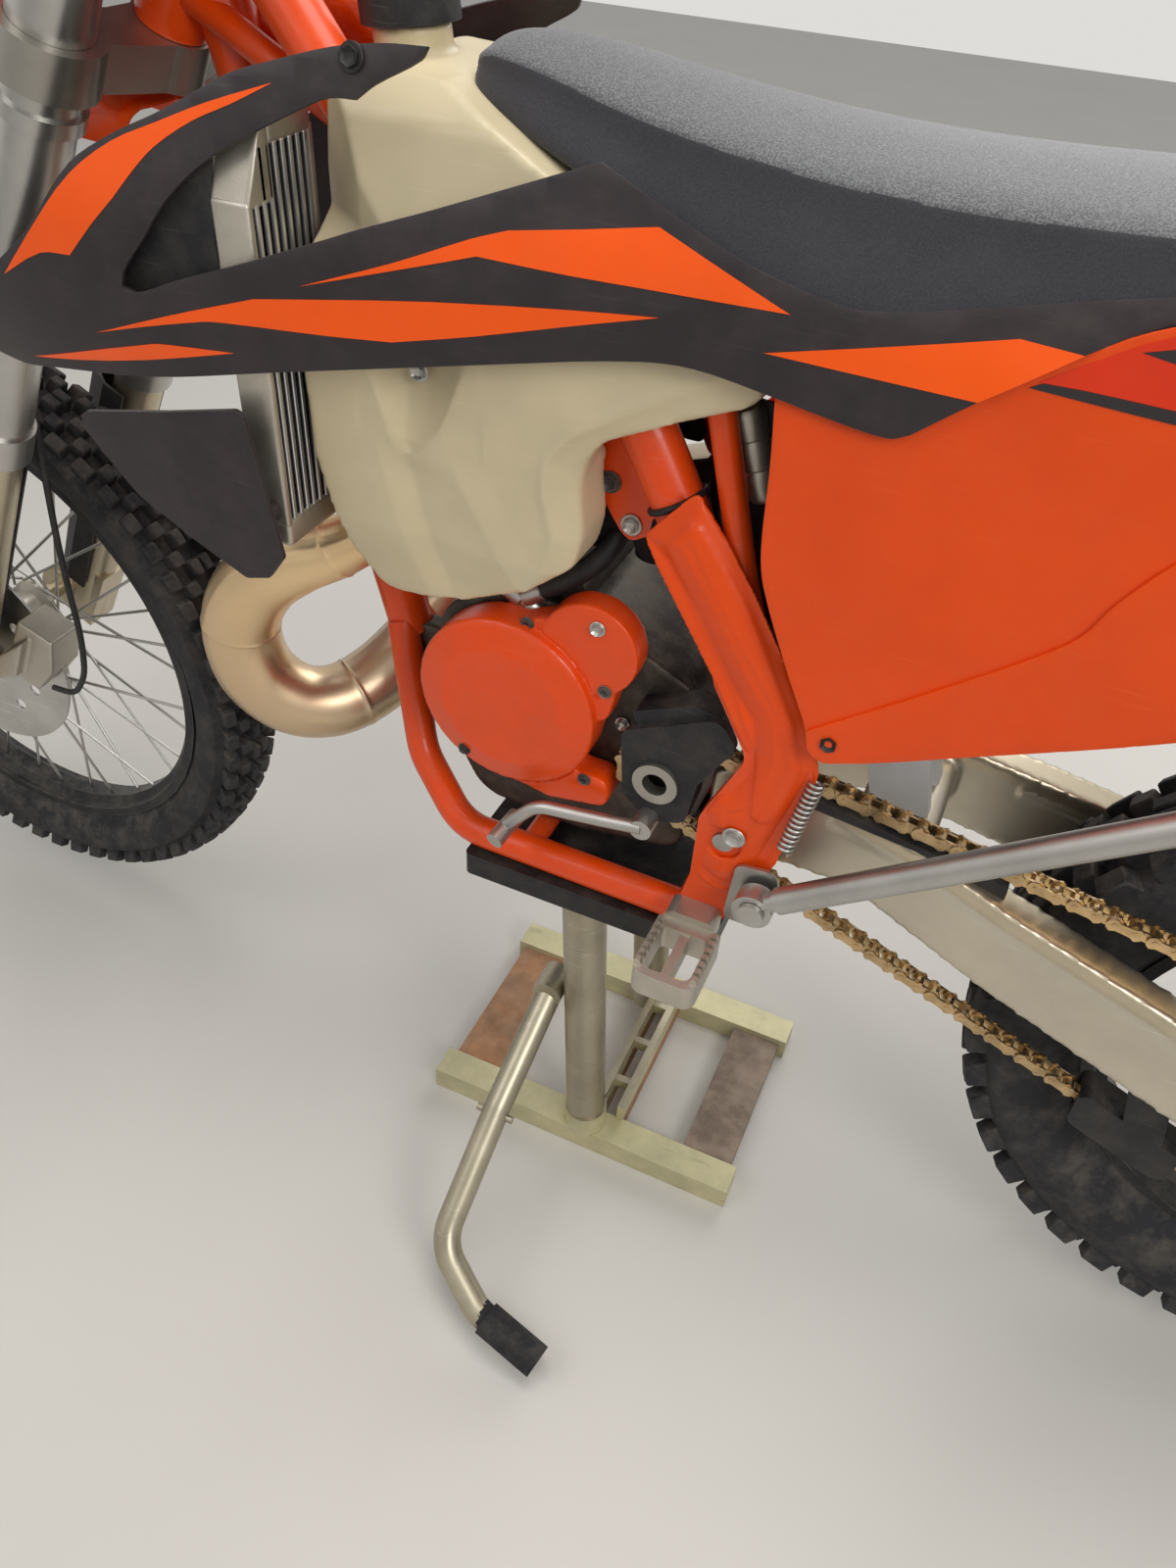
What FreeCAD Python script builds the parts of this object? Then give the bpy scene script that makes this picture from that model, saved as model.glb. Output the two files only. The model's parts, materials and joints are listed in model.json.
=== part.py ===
import FreeCAD, Part
import math
import os

# Enduro dirt bike held up on a workshop lift stand.
# Units are millimetres. +Z is up, the floor is z = 0, the front wheel points to -X,
# and the left side of the bike, which carries the chain and the side stand, faces -Y.
# Lengths along the bike are written as the distance behind the front axle, and at()
# moves them to the origin, which is under the middle of the bike's length.

os.makedirs("parts", exist_ok=True)

# Driving dimensions of the whole bike
WHEELBASE = 1480.0
FRONT_TYRE_R = 349.0
REAR_TYRE_R = 343.0
TYRE_LIFT = 68.0
TAIL_REACH = 1850.0
RAKE_DEG = 26.5
CLAMP_OFFSET = 22.0
AXLE_LEAD = 29.0
FORK_HALF_GAP = 98.0
RUNNING_GAP = 0.3

# Places that follow from them
X_MID = (TAIL_REACH - FRONT_TYRE_R) / 2.0
FRONT_AXLE_Z = TYRE_LIFT + FRONT_TYRE_R
REAR_AXLE_Z = TYRE_LIFT + REAR_TYRE_R
RAKE = math.radians(RAKE_DEG)
PIVOT_X = 908.0
PIVOT_Z = 549.0


def at(x, y, z):
    return FreeCAD.Vector(x - X_MID, y, z)


def polygon(points):
    return Part.makePolygon(points + [points[0]])


def rounded_wire(corners, place):
    # Each corner is (a, b, radius) in a plane, and place(a, b) puts it in space.
    edges = []
    starts = []
    count = len(corners)
    for i in range(count):
        a, b, radius = corners[i]
        before = corners[i - 1]
        after = corners[(i + 1) % count]
        here = FreeCAD.Vector(a, b, 0)
        back = FreeCAD.Vector(before[0], before[1], 0) - here
        ahead = FreeCAD.Vector(after[0], after[1], 0) - here
        turn = math.pi - back.getAngle(ahead)
        if radius <= 0 or turn < 0.02:
            starts.append((here, here, None))
            continue
        cut = radius * math.tan(turn / 2.0)
        cut = min(cut, 0.48 * back.Length, 0.48 * ahead.Length)
        fit_r = cut / math.tan(turn / 2.0)
        back.normalize()
        ahead.normalize()
        first = here + back * cut
        last = here + ahead * cut
        middle_way = back + ahead
        middle_way.normalize()
        centre_way = math.hypot(cut, fit_r)
        middle = here + middle_way * (centre_way - fit_r)
        starts.append((first, last, middle))
    for i in range(count):
        first, last, middle = starts[i]
        if middle is not None:
            edges.append(Part.Arc(place(first.x, first.y), place(middle.x, middle.y),
                                  place(last.x, last.y)).toShape())
        nxt = starts[(i + 1) % count][0]
        if (nxt - last).Length > 0.01:
            edges.append(Part.makeLine(place(last.x, last.y), place(nxt.x, nxt.y)))
    return Part.Wire(edges)


def side_plate(corners, y_low, y_high):
    # A side-view outline, (x, z, radius) at each corner, given thickness across the bike.
    wire = rounded_wire(corners, lambda a, b: at(a, y_low, b))
    return Part.Face(wire).extrude(FreeCAD.Vector(0, y_high - y_low, 0))


def top_plate(corners, z_low, z_high):
    # A top-view outline, (x, y, radius) at each corner, given height.
    wire = rounded_wire(corners, lambda a, b: at(a, b, z_low))
    return Part.Face(wire).extrude(FreeCAD.Vector(0, 0, z_high - z_low))


def loft(sections):
    return Part.makeLoft([polygon(s) for s in sections], True, True)


def rod(start, end, radius):
    way = end - start
    return Part.makeCylinder(radius, way.Length, start, way)


def across(x, z, y_low, y_high, radius):
    return Part.makeCylinder(radius, y_high - y_low, at(x, y_low, z), FreeCAD.Vector(0, 1, 0))


def tube(points, radius, bend):
    # A round bar or hose along straight runs that are joined by tangent arcs.
    edges = []
    last = points[0]
    for i in range(1, len(points) - 1):
        back = points[i - 1] - points[i]
        ahead = points[i + 1] - points[i]
        turn = math.pi - back.getAngle(ahead)
        cut = min(bend * math.tan(turn / 2.0), 0.48 * back.Length, 0.48 * ahead.Length)
        arc_r = cut / math.tan(turn / 2.0)
        back.normalize()
        ahead.normalize()
        first = points[i] + back * cut
        second = points[i] + ahead * cut
        inward = back + ahead
        inward.normalize()
        middle = points[i] + inward * (math.hypot(cut, arc_r) - arc_r)
        if (first - last).Length > 0.01:
            edges.append(Part.makeLine(last, first))
        edges.append(Part.Arc(first, middle, second).toShape())
        last = second
    edges.append(Part.makeLine(last, points[-1]))
    spine = Part.Wire(edges)
    ring = Part.Wire([Part.makeCircle(radius, points[0], points[1] - points[0])])
    return spine.makePipeShell([ring], True, True)


def join(shapes):
    whole = shapes[0].multiFuse(shapes[1:]) if len(shapes) > 1 else shapes[0]
    return whole.removeSplitter()


def mirrored(shape):
    return shape.mirror(at(X_MID, 0, 0), FreeCAD.Vector(0, 1, 0))


def both_sides(shape):
    return Part.makeCompound([shape, mirrored(shape)])


def turned(profile, axle_x, axle_z):
    # A closed profile of (radius, y) points, turned about a wheel's axle.
    points = [at(axle_x, y, axle_z + r) for r, y in profile]
    face = Part.Face(polygon(points))
    return face.revolve(at(axle_x, 0, axle_z), FreeCAD.Vector(0, 1, 0), 360)


NODES = {}


def keep(name, shape):
    NODES[name] = shape
    shape.exportStep("parts/" + name + ".step")
    solids = shape.Solids
    box = shape.BoundBox
    print("%-18s solids %2d valid %s  x %.0f..%.0f y %.0f..%.0f z %.0f..%.0f" % (
        name, len(solids), shape.isValid(), box.XMin, box.XMax, box.YMin, box.YMax,
        box.ZMin, box.ZMax))


# Wheels
# The rows give each wheel's axle, tyre, rim and hub sizes.
RIM_WALL = 3.0
FLANGE_H = 7.0
CARCASS = 9.0
SPOKE_R = 1.7
SPOKES = 36
WHEELS = {
    "front": dict(x=0.0, z=FRONT_AXLE_Z, tyre_r=FRONT_TYRE_R, tyre_half=45.0, seat_r=267.0,
                  rim_half=24.0, hub_r=21.0, hub_half=42.0, flange_r=29.0, axle_r=10.0, rows=46),
    "rear": dict(x=WHEELBASE, z=REAR_AXLE_Z, tyre_r=REAR_TYRE_R, tyre_half=62.0, seat_r=229.0,
                 rim_half=31.0, hub_r=30.0, hub_half=58.0, flange_r=44.0, axle_r=12.5, rows=38),
}
KNOB_DEPTH = 14.0
KNOB_SINK = 3.0
# Blocks of the tread: which rows carry it, share of the half width at its inner and outer
# edge, how far each edge's top lies below the tyre's radius, share of a row's length.
KNOBS = [
    dict(row=0, inner=-0.30, outer=0.30, inner_drop=0.0, outer_drop=0.0, length=1.15),
    dict(row=0, inner=0.70, outer=0.99, inner_drop=5.0, outer_drop=13.0, length=1.25),
    dict(row=1, inner=0.32, outer=0.64, inner_drop=1.5, outer_drop=4.5, length=1.05),
]


def knob(w, row, inner, outer, inner_drop, outer_drop, length, turn):
    # One block: its section across the tyre, drawn out along the tread.
    r, half = w["tyre_r"], w["tyre_half"]
    run = 2 * math.pi * r / w["rows"]
    floor_in = r - KNOB_DEPTH - KNOB_SINK - inner_drop
    floor_out = r - KNOB_DEPTH - KNOB_SINK - 1.6 * outer_drop
    section = [(inner * half, floor_in), (inner * half, r - inner_drop - 0.4), (outer * half, r - outer_drop - 0.4),
               (outer * half, floor_out)]
    out = FreeCAD.Vector(math.sin(turn), 0, math.cos(turn))
    ahead = FreeCAD.Vector(math.cos(turn), 0, -math.sin(turn))
    start = at(w["x"], 0, w["z"]) - ahead * (length * run / 2)
    face = Part.Face(polygon([start + out * rr + FreeCAD.Vector(0, y, 0) for y, rr in section]))
    return face.extrude(ahead * (length * run))


def knobs(w):
    blocks = []
    for i in range(w["rows"]):
        turn = 2 * math.pi * i / w["rows"]
        for k in KNOBS:
            if k["row"] != i % 2:
                continue
            block = knob(w, turn=turn, **k)
            blocks.append(block)
            if k["inner"] > 0:
                blocks.append(mirrored(block))
    return blocks


def tyre(w):
    # The casing with its blocks fused on. The blocks' tops reach the tyre's radius.
    r, half, seat = w["tyre_r"], w["tyre_half"], w["seat_r"]
    bead = w["rim_half"] - RIM_WALL - RUNNING_GAP
    side = r - seat
    outer = [(seat + RUNNING_GAP, bead), (seat + FLANGE_H + 2, bead),
             (seat + 0.30 * side, 0.86 * half), (seat + 0.60 * side, 0.97 * half),
             (r - KNOB_DEPTH - 16, 0.88 * half), (r - KNOB_DEPTH - 5, 0.58 * half), (r - KNOB_DEPTH, 0.0)]
    tread = KNOB_DEPTH + CARCASS
    inner = [(r - tread, 0.0), (r - tread - 4, 0.45 * half), (seat + 0.62 * side, half - CARCASS - 8),
             (seat + 0.35 * side, 0.86 * half - CARCASS), (seat + RUNNING_GAP, bead - CARCASS)]
    half_ring = outer + inner
    left = turned(half_ring, w["x"], w["z"])
    casing = join([left, mirrored(left)])
    return casing.multiFuse(knobs(w))


def rim(w):
    seat, half = w["seat_r"], w["rim_half"]
    outer = [(seat + FLANGE_H, half), (seat + FLANGE_H, half - RIM_WALL), (seat, half - RIM_WALL),
             (seat, 0.55 * half), (seat - 10, 0.35 * half)]
    inner = [(seat - 14, 0.4 * half), (seat - 5, 0.75 * half), (seat - 4, half)]
    loop = [(r, y) for r, y in outer] + [(r, -y) for r, y in reversed(outer)]
    loop += [(r, -y) for r, y in reversed(inner)] + [(r, y) for r, y in inner]
    return turned(loop, w["x"], w["z"])


def hub(w):
    half, flange = w["hub_half"], w["flange_r"]
    r = w["hub_r"]
    outer = [(flange, half), (flange, half - 6), (r, half - 12), (r - 3, 0.0)]
    body = [(w["axle_r"] + RUNNING_GAP, half)] + outer
    loop = body + [(rr, -y) for rr, y in reversed(outer)] + [(w["axle_r"] + RUNNING_GAP, -half)]
    return turned(loop, w["x"], w["z"])


def spokes(w):
    # Crossed spokes: each leaves its flange along a tangent and ends at the rim.
    bars = []
    inner_r = w["flange_r"] + SPOKE_R + RUNNING_GAP
    outer_r = w["seat_r"] - 14 - 0.6 - RUNNING_GAP
    for i in range(SPOKES):
        side = 1 if i % 2 else -1
        lean = 1 if (i // 2) % 2 else -1
        rim_deg = 360.0 * i / SPOKES
        hub_deg = rim_deg + lean * 62.0
        a = math.radians(rim_deg)
        b = math.radians(hub_deg)
        flange_y = side * (w["hub_half"] - 3 + 2.2 * lean)
        rim_y = side * 0.14 * w["rim_half"]
        start = at(w["x"] + inner_r * math.sin(b), flange_y, w["z"] + inner_r * math.cos(b))
        end = at(w["x"] + outer_r * math.sin(a), rim_y, w["z"] + outer_r * math.cos(a))
        bars.append(rod(start, end, SPOKE_R))
    return Part.makeCompound(bars)


def disc(x, z, y, radius, inner, thick):
    plate = across(x, z, y - thick / 2, y + thick / 2, radius)
    holes = [across(x, z, y - thick, y + thick, inner)]
    ring_r = (radius + inner) / 2 + 8
    for i in range(12):
        a = math.radians(30 * i)
        holes.append(across(x + ring_r * math.cos(a), z + ring_r * math.sin(a), y - thick, y + thick, 7))
    return plate.cut(Part.makeCompound(holes))


DISC_T = 3.0
FRONT_DISC_Y = -55.0
FRONT_DISC_R = 130.0
REAR_DISC_Y = 72.0
REAR_DISC_R = 110.0
CHAIN_Y = -77.0


def disc_carrier(w, disc_y, radius):
    # The hub's end that carries the disc, as wide as the disc's inner ring.
    side = 1 if disc_y > 0 else -1
    low, high = sorted((side * w["hub_half"], disc_y - side * DISC_T / 2))
    barrel = across(w["x"], w["z"], low, high, radius)
    return barrel.cut(across(w["x"], w["z"], low - 1, high + 1, w["axle_r"] + RUNNING_GAP))


F = WHEELS["front"]
R = WHEELS["rear"]
SPROCKET_T = 6.0
CARRIER_STEP = 3.0
front_hub = join([hub(F), disc_carrier(F, FRONT_DISC_Y, F["flange_r"] - CARRIER_STEP)])
rear_hub = join([hub(R), disc_carrier(R, REAR_DISC_Y, R["flange_r"] - CARRIER_STEP),
                 disc_carrier(R, CHAIN_Y + (SPROCKET_T - DISC_T) / 2, R["flange_r"] - CARRIER_STEP)])


def laced_wheel(w, hub_body):
    # Rim, hub and spokes of one wheel. The spokes end a hair short of both.
    return Part.makeCompound([rim(w), hub_body] + spokes(w).Solids)


keep("front_tyre", tyre(F))
keep("rear_tyre", tyre(R))
keep("front_wheel", laced_wheel(F, front_hub))
keep("rear_wheel", laced_wheel(R, rear_hub))
keep("front_disc", disc(F["x"], F["z"], FRONT_DISC_Y, FRONT_DISC_R, 24.0, DISC_T))
keep("rear_disc", disc(R["x"], R["z"], REAR_DISC_Y, REAR_DISC_R, 34.0, DISC_T))

# Chain drive
PITCH = 15.875
REAR_TEETH = 48
DRIVE_TEETH = 13
DRIVE_X = 838.0
DRIVE_Z = 577.0
PLATE_H = 7.2
REAR_PITCH_R = PITCH / (2 * math.sin(math.pi / REAR_TEETH))
DRIVE_PITCH_R = PITCH / (2 * math.sin(math.pi / DRIVE_TEETH))


TOOTH_GAP = 0.8


def sprocket(x, z, pitch_r, teeth, bore, thick):
    # The teeth end short of the chain's inner edge, so the wheel turns clear of it.
    tip = pitch_r - PLATE_H - TOOTH_GAP
    root = tip - 6.0
    points = []
    for i in range(teeth):
        for share, r in ((0.0, root), (0.35, tip), (0.65, tip)):
            a = 2 * math.pi * (i + share) / teeth
            points.append(at(x + r * math.cos(a), CHAIN_Y - thick / 2, z + r * math.sin(a)))
    plate = Part.Face(polygon(points)).extrude(FreeCAD.Vector(0, thick, 0))
    return plate.cut(across(x, z, CHAIN_Y - thick, CHAIN_Y + thick, bore))


def rear_sprocket():
    plate = sprocket(WHEELBASE, REAR_AXLE_Z, REAR_PITCH_R, REAR_TEETH, 34.0, SPROCKET_T)
    cuts = []
    for i in range(8):
        a = math.radians(45 * i + 22.5)
        cuts.append(across(WHEELBASE + 82 * math.cos(a), REAR_AXLE_Z + 82 * math.sin(a),
                           CHAIN_Y - SPROCKET_T, CHAIN_Y + SPROCKET_T, 17))
    return plate.cut(Part.makeCompound(cuts))


keep("rear_sprocket", rear_sprocket())

SLIDER_X = 976.0
SLIDER_Z = 617.0


def chain_band(offset, waist=0.0):
    # The closed line beside the chain's pins: positive offsets lie outside the loop.
    # With a waist, the line dips towards the pins' line halfway along each link.
    r_rear = REAR_PITCH_R + offset
    r_drive = DRIVE_PITCH_R + offset
    rear = FreeCAD.Vector(WHEELBASE, REAR_AXLE_Z, 0)
    drive = FreeCAD.Vector(DRIVE_X, DRIVE_Z, 0)
    hump = FreeCAD.Vector(SLIDER_X, SLIDER_Z + offset, 0)

    def touch(centre, radius, point, side):
        way = point - centre
        base = math.atan2(way.y, way.x)
        spread = math.acos(radius / way.Length)
        a = base + side * spread
        return centre + FreeCAD.Vector(math.cos(a), math.sin(a), 0) * radius

    top_drive = touch(drive, r_drive, hump, 1)
    top_rear = touch(rear, r_rear, hump, -1)
    way = rear - drive
    base = math.atan2(way.y, way.x)
    spread = math.acos((r_drive - r_rear) / way.Length)
    a = base - spread
    down = FreeCAD.Vector(math.cos(a), math.sin(a), 0)
    low_drive = drive + down * r_drive
    low_rear = rear + down * r_rear
    far_rear = rear + FreeCAD.Vector(1, 0, 0) * r_rear
    far_drive = drive - FreeCAD.Vector(1, 0, 0) * r_drive
    y_low = CHAIN_Y

    def p(v):
        return at(v.x, y_low, v.y)

    edges = [Part.makeLine(p(top_drive), p(hump)), Part.makeLine(p(hump), p(top_rear)),
             Part.Arc(p(top_rear), p(far_rear), p(low_rear)).toShape(),
             Part.makeLine(p(low_rear), p(low_drive)),
             Part.Arc(p(low_drive), p(far_drive), p(top_drive)).toShape()]
    line = Part.Wire(edges)
    if not waist:
        return Part.Face(line)
    # Links are counted on the pins' own line, so both edges of the chain get as many.
    middle = chain_band(0.0).OuterWire
    links = round(middle.Length / PITCH)
    side = 1 if offset > 0 else -1
    points = middle.discretize(Number=2 * links + 1)[:-1]
    shaped = []
    for i, point in enumerate(points):
        along = points[(i + 1) % len(points)] - points[i - 1]
        along.normalize()
        outwards = FreeCAD.Vector(-along.z, 0, along.x) * side
        reach = abs(offset) - (waist if i % 2 else 0.0)
        shaped.append(point + outwards * reach)
    return Part.Face(polygon(shaped))


CHAIN_HALF = 8.5
LINK_WAIST = 2.6


def low_run(x, offset=0.0):
    # Height of the chain's lower run at x, or of a line beside it.
    rear = FreeCAD.Vector(WHEELBASE, REAR_AXLE_Z, 0)
    drive = FreeCAD.Vector(DRIVE_X, DRIVE_Z, 0)
    way = rear - drive
    base = math.atan2(way.y, way.x)
    a = base - math.acos((DRIVE_PITCH_R - REAR_PITCH_R) / way.Length)
    down = FreeCAD.Vector(math.cos(a), math.sin(a), 0)
    p = drive + down * (DRIVE_PITCH_R + offset)
    q = rear + down * (REAR_PITCH_R + offset)
    return p.y + (q.y - p.y) * (x - p.x) / (q.x - p.x)


def chain():
    ring = chain_band(PLATE_H, LINK_WAIST).cut(chain_band(-PLATE_H, LINK_WAIST))
    ring.translate(FreeCAD.Vector(0, -CHAIN_HALF, 0))
    return ring.extrude(FreeCAD.Vector(0, 2 * CHAIN_HALF, 0))


keep("drive_chain", chain())

# Fork, clamps and steering
DIR = FreeCAD.Vector(math.sin(RAKE), 0, math.cos(RAKE))
NORMAL = FreeCAD.Vector(math.cos(RAKE), 0, -math.sin(RAKE))
AXLE = at(0, 0, FRONT_AXLE_Z)
FORK_FOOT = AXLE + NORMAL * AXLE_LEAD
STEER_FOOT = AXLE + NORMAL * (AXLE_LEAD + CLAMP_OFFSET)
FORK_LENGTH = 940.0
OUTER_R = 27.0
CLAMPED_R = 29.0
INNER_R = 24.0
SEAL_AT = 365.0
LOWER_CLAMP_AT = 722.0
UPPER_CLAMP_AT = 917.0
LOWER_CLAMP_H = 36.0
UPPER_CLAMP_H = 30.0
COLLAR_DROP = 40.0
STEM_R = 15.0
HEAD_R = 27.0


def on_fork(along, y):
    return FORK_FOOT + DIR * along + FreeCAD.Vector(0, y, 0)


def on_steer(along, y=0.0):
    return STEER_FOOT + DIR * along + FreeCAD.Vector(0, y, 0)


def fork_outer(y):
    step_at = LOWER_CLAMP_AT - COLLAR_DROP
    lower = rod(on_fork(SEAL_AT, y), on_fork(step_at, y), OUTER_R)
    upper = rod(on_fork(step_at, y), on_fork(FORK_LENGTH, y), CLAMPED_R)
    seal = rod(on_fork(SEAL_AT - 14, y), on_fork(SEAL_AT + 20, y), OUTER_R + 3)
    collar = rod(on_fork(step_at - 6, y), on_fork(step_at + 6, y), CLAMPED_R + 3)
    whole = join([lower, upper, seal, collar])
    return whole.cut(rod(on_fork(SEAL_AT - 20, y), on_fork(SEAL_AT + 30, y), INNER_R + RUNNING_GAP))


FOOT_HALF = 20.0


def foot_block(y, room):
    corners = [(-20, -20), (AXLE_LEAD + 22, -26), (AXLE_LEAD + 25, 62), (AXLE_LEAD - 25, 62), (-22, 14)]
    middle = (AXLE_LEAD / 2.0, 20.0)
    points = []
    for n, d in corners:
        out_n = n + (room if n > middle[0] else -room)
        out_d = d + (room if d > middle[1] else -room)
        points.append(AXLE + NORMAL * out_n + DIR * out_d + FreeCAD.Vector(0, y - FOOT_HALF - room, 0))
    return Part.Face(polygon(points)).extrude(FreeCAD.Vector(0, 2 * (FOOT_HALF + room), 0))


def fork_inner(y):
    # The stanchion and its foot, which holds the wheel's axle in front of the leg.
    bar = rod(on_fork(-8, y), on_fork(SEAL_AT + 29, y), INNER_R)
    axle_boss = Part.makeCylinder(24, 44, AXLE + FreeCAD.Vector(0, y - 22, 0), FreeCAD.Vector(0, 1, 0))
    return join([bar, axle_boss, foot_block(y, 0.0)])


fork_sliders = [fork_inner(-FORK_HALF_GAP), fork_inner(FORK_HALF_GAP)]
axle_bar = Part.makeCylinder(F["axle_r"], 2 * FORK_HALF_GAP, AXLE - FreeCAD.Vector(0, FORK_HALF_GAP, 0),
                             FreeCAD.Vector(0, 1, 0))
keep("fork_sliders", join(fork_sliders + [axle_bar]))
keep("fork_tubes", both_sides(fork_outer(-FORK_HALF_GAP)))


def clamp(along, height, reach):
    # A bridge between the legs, with a ring round each and the stem's boss behind.
    start = along - height / 2
    rings = [rod(on_fork(start, y), on_fork(start + height, y), CLAMPED_R + 9)
             for y in (-FORK_HALF_GAP, FORK_HALF_GAP)]
    boss = rod(on_steer(start), on_steer(start + height), HEAD_R + 3)
    side = FreeCAD.Vector(0, 1, 0)
    y1 = FORK_HALF_GAP
    base = FORK_FOOT + DIR * start
    flat = [base + NORMAL * -reach + side * -y1, base + NORMAL * 24 + side * -y1,
            base + NORMAL * (CLAMP_OFFSET + 22) + side * -18, base + NORMAL * (CLAMP_OFFSET + 22) + side * 18,
            base + NORMAL * 24 + side * y1, base + NORMAL * -reach + side * y1,
            base + NORMAL * -4 + side * 40, base + NORMAL * -4 + side * -40]
    plate = Part.Face(polygon(flat)).extrude(DIR * height)
    whole = join(rings + [boss, plate])
    for y in (-FORK_HALF_GAP, FORK_HALF_GAP):
        whole = whole.cut(rod(on_fork(start - 5, y), on_fork(start + height + 5, y), CLAMPED_R + RUNNING_GAP))
    return whole


lower_clamp = clamp(LOWER_CLAMP_AT, LOWER_CLAMP_H, 18)
upper_clamp = clamp(UPPER_CLAMP_AT, UPPER_CLAMP_H, 18)
stem = rod(on_steer(LOWER_CLAMP_AT), on_steer(UPPER_CLAMP_AT), STEM_R)
stem_nut = rod(on_steer(UPPER_CLAMP_AT), on_steer(UPPER_CLAMP_AT + 26), 17)
BAR_CLAMP_AT = UPPER_CLAMP_AT + 58.0
BAR_R = 14.3
BAR_CENTRE = on_steer(BAR_CLAMP_AT)
risers = []
for y in (-50, 50):
    foot = on_steer(UPPER_CLAMP_AT, y - 14)
    block = [foot + NORMAL * -20, foot + NORMAL * 20, foot + NORMAL * 22 + DIR * 76,
             foot + NORMAL * -22 + DIR * 76]
    risers.append(Part.Face(polygon(block)).extrude(FreeCAD.Vector(0, 28, 0)))
clamps = join([lower_clamp, upper_clamp, stem, stem_nut] + risers)
clamps = clamps.cut(Part.makeCylinder(BAR_R + RUNNING_GAP, 200, BAR_CENTRE - FreeCAD.Vector(0, 100, 0),
                                      FreeCAD.Vector(0, 1, 0)))
keep("triple_clamps", clamps)

# Handlebar, grips and levers
BAR_HALF = 405.0
BAR_RISE = 50.0
GRIP_LEN = 118.0
GRIP_R = 17.0
HALF_BAR_END = BAR_HALF - 4.0
bar_left = [BAR_CENTRE, BAR_CENTRE + FreeCAD.Vector(0, -105, 0),
            BAR_CENTRE + FreeCAD.Vector(22, -185, BAR_RISE),
            BAR_CENTRE + FreeCAD.Vector(86, -HALF_BAR_END, BAR_RISE + 8)]
half_bar = tube(bar_left, BAR_R - 3.2, 60)
centre_bar = rod(BAR_CENTRE + FreeCAD.Vector(0, -88, 0), BAR_CENTRE + FreeCAD.Vector(0, 88, 0), BAR_R)
keep("handlebar", join([half_bar, mirrored(half_bar), centre_bar]))
bar_way = bar_left[3] - bar_left[2]
bar_way.normalize()
grip_end = bar_left[3] + bar_way * 4.0
grip_start = grip_end - bar_way * GRIP_LEN
BAR_END_R = BAR_R - 3.2 + RUNNING_GAP


def grip():
    body = rod(grip_start, grip_end, GRIP_R)
    flange = rod(grip_start, grip_start + bar_way * 5, GRIP_R + 9)
    whole = join([body, flange])
    return whole.cut(rod(grip_start - bar_way * 2, grip_end - bar_way * 3, BAR_END_R))


keep("hand_grips", both_sides(grip()))


perch_at = grip_start - bar_way * 26
ahead = FreeCAD.Vector(-1, 0, -0.15).normalize()
RESERVOIR_END = perch_at + ahead * 34 - bar_way * 36


def lever():
    ring = rod(perch_at - bar_way * 9, perch_at + bar_way * 9, BAR_R + 3)
    arm = rod(perch_at, perch_at + ahead * 44, 9)
    tank = rod(RESERVOIR_END, perch_at + ahead * 34 + bar_way * 12, 13)
    blade = tube([perch_at + ahead * 46, perch_at + ahead * 62 + bar_way * 28,
                  perch_at + ahead * 58 + bar_way * 128], 5.5, 30)
    ball = Part.makeSphere(8, perch_at + ahead * 58 + bar_way * 130)
    whole = join([ring, arm, tank, blade, ball])
    return whole.cut(rod(perch_at - bar_way * 20, perch_at + bar_way * 20, BAR_END_R))


keep("hand_levers", both_sides(lever()))

# Front fender, lamp mask, fork guards, brake
FENDER_T = 3.0
# rows: x, crown height, edge drop, half width
FRONT_FENDER = [(-322, 880, 12, 40), (-240, 926, 30, 62), (-120, 976, 44, 72), (20, 1014, 50, 74),
                (150, 1030, 52, 70), (262, 1026, 40, 56), (352, 1004, 24, 48)]


def fender(rows, thick):
    sections = []
    for x, top, drop, half in rows:
        outer = [(-half, top - drop), (-0.86 * half, top - 0.35 * drop), (-0.5 * half, top),
                 (0.5 * half, top), (0.86 * half, top - 0.35 * drop), (half, top - drop)]
        inner = [(half - thick, top - drop), (0.86 * half - thick, top - 0.35 * drop - thick),
                 (0.48 * half, top - thick), (-0.48 * half, top - thick),
                 (-0.86 * half + thick, top - 0.35 * drop - thick), (-half + thick, top - drop)]
        sections.append([at(x, y, z) for y, z in outer + inner])
    return loft(sections)


clamp_under = FORK_FOOT + DIR * (LOWER_CLAMP_AT - LOWER_CLAMP_H / 2 - RUNNING_GAP)
pad_side = FreeCAD.Vector(0, 36, 0)
pad = [clamp_under + NORMAL * -10 - pad_side, clamp_under + NORMAL * 20 - pad_side,
       clamp_under + NORMAL * 20 + pad_side, clamp_under + NORMAL * -10 + pad_side]
fender_pad = Part.Face(polygon(pad)).extrude(DIR * -34)
keep("front_fender", join([fender(FRONT_FENDER, FENDER_T), fender_pad]))


MASK_BACK = CLAMPED_R + 9 + RUNNING_GAP
LAMP_AT = 822.0


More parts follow.
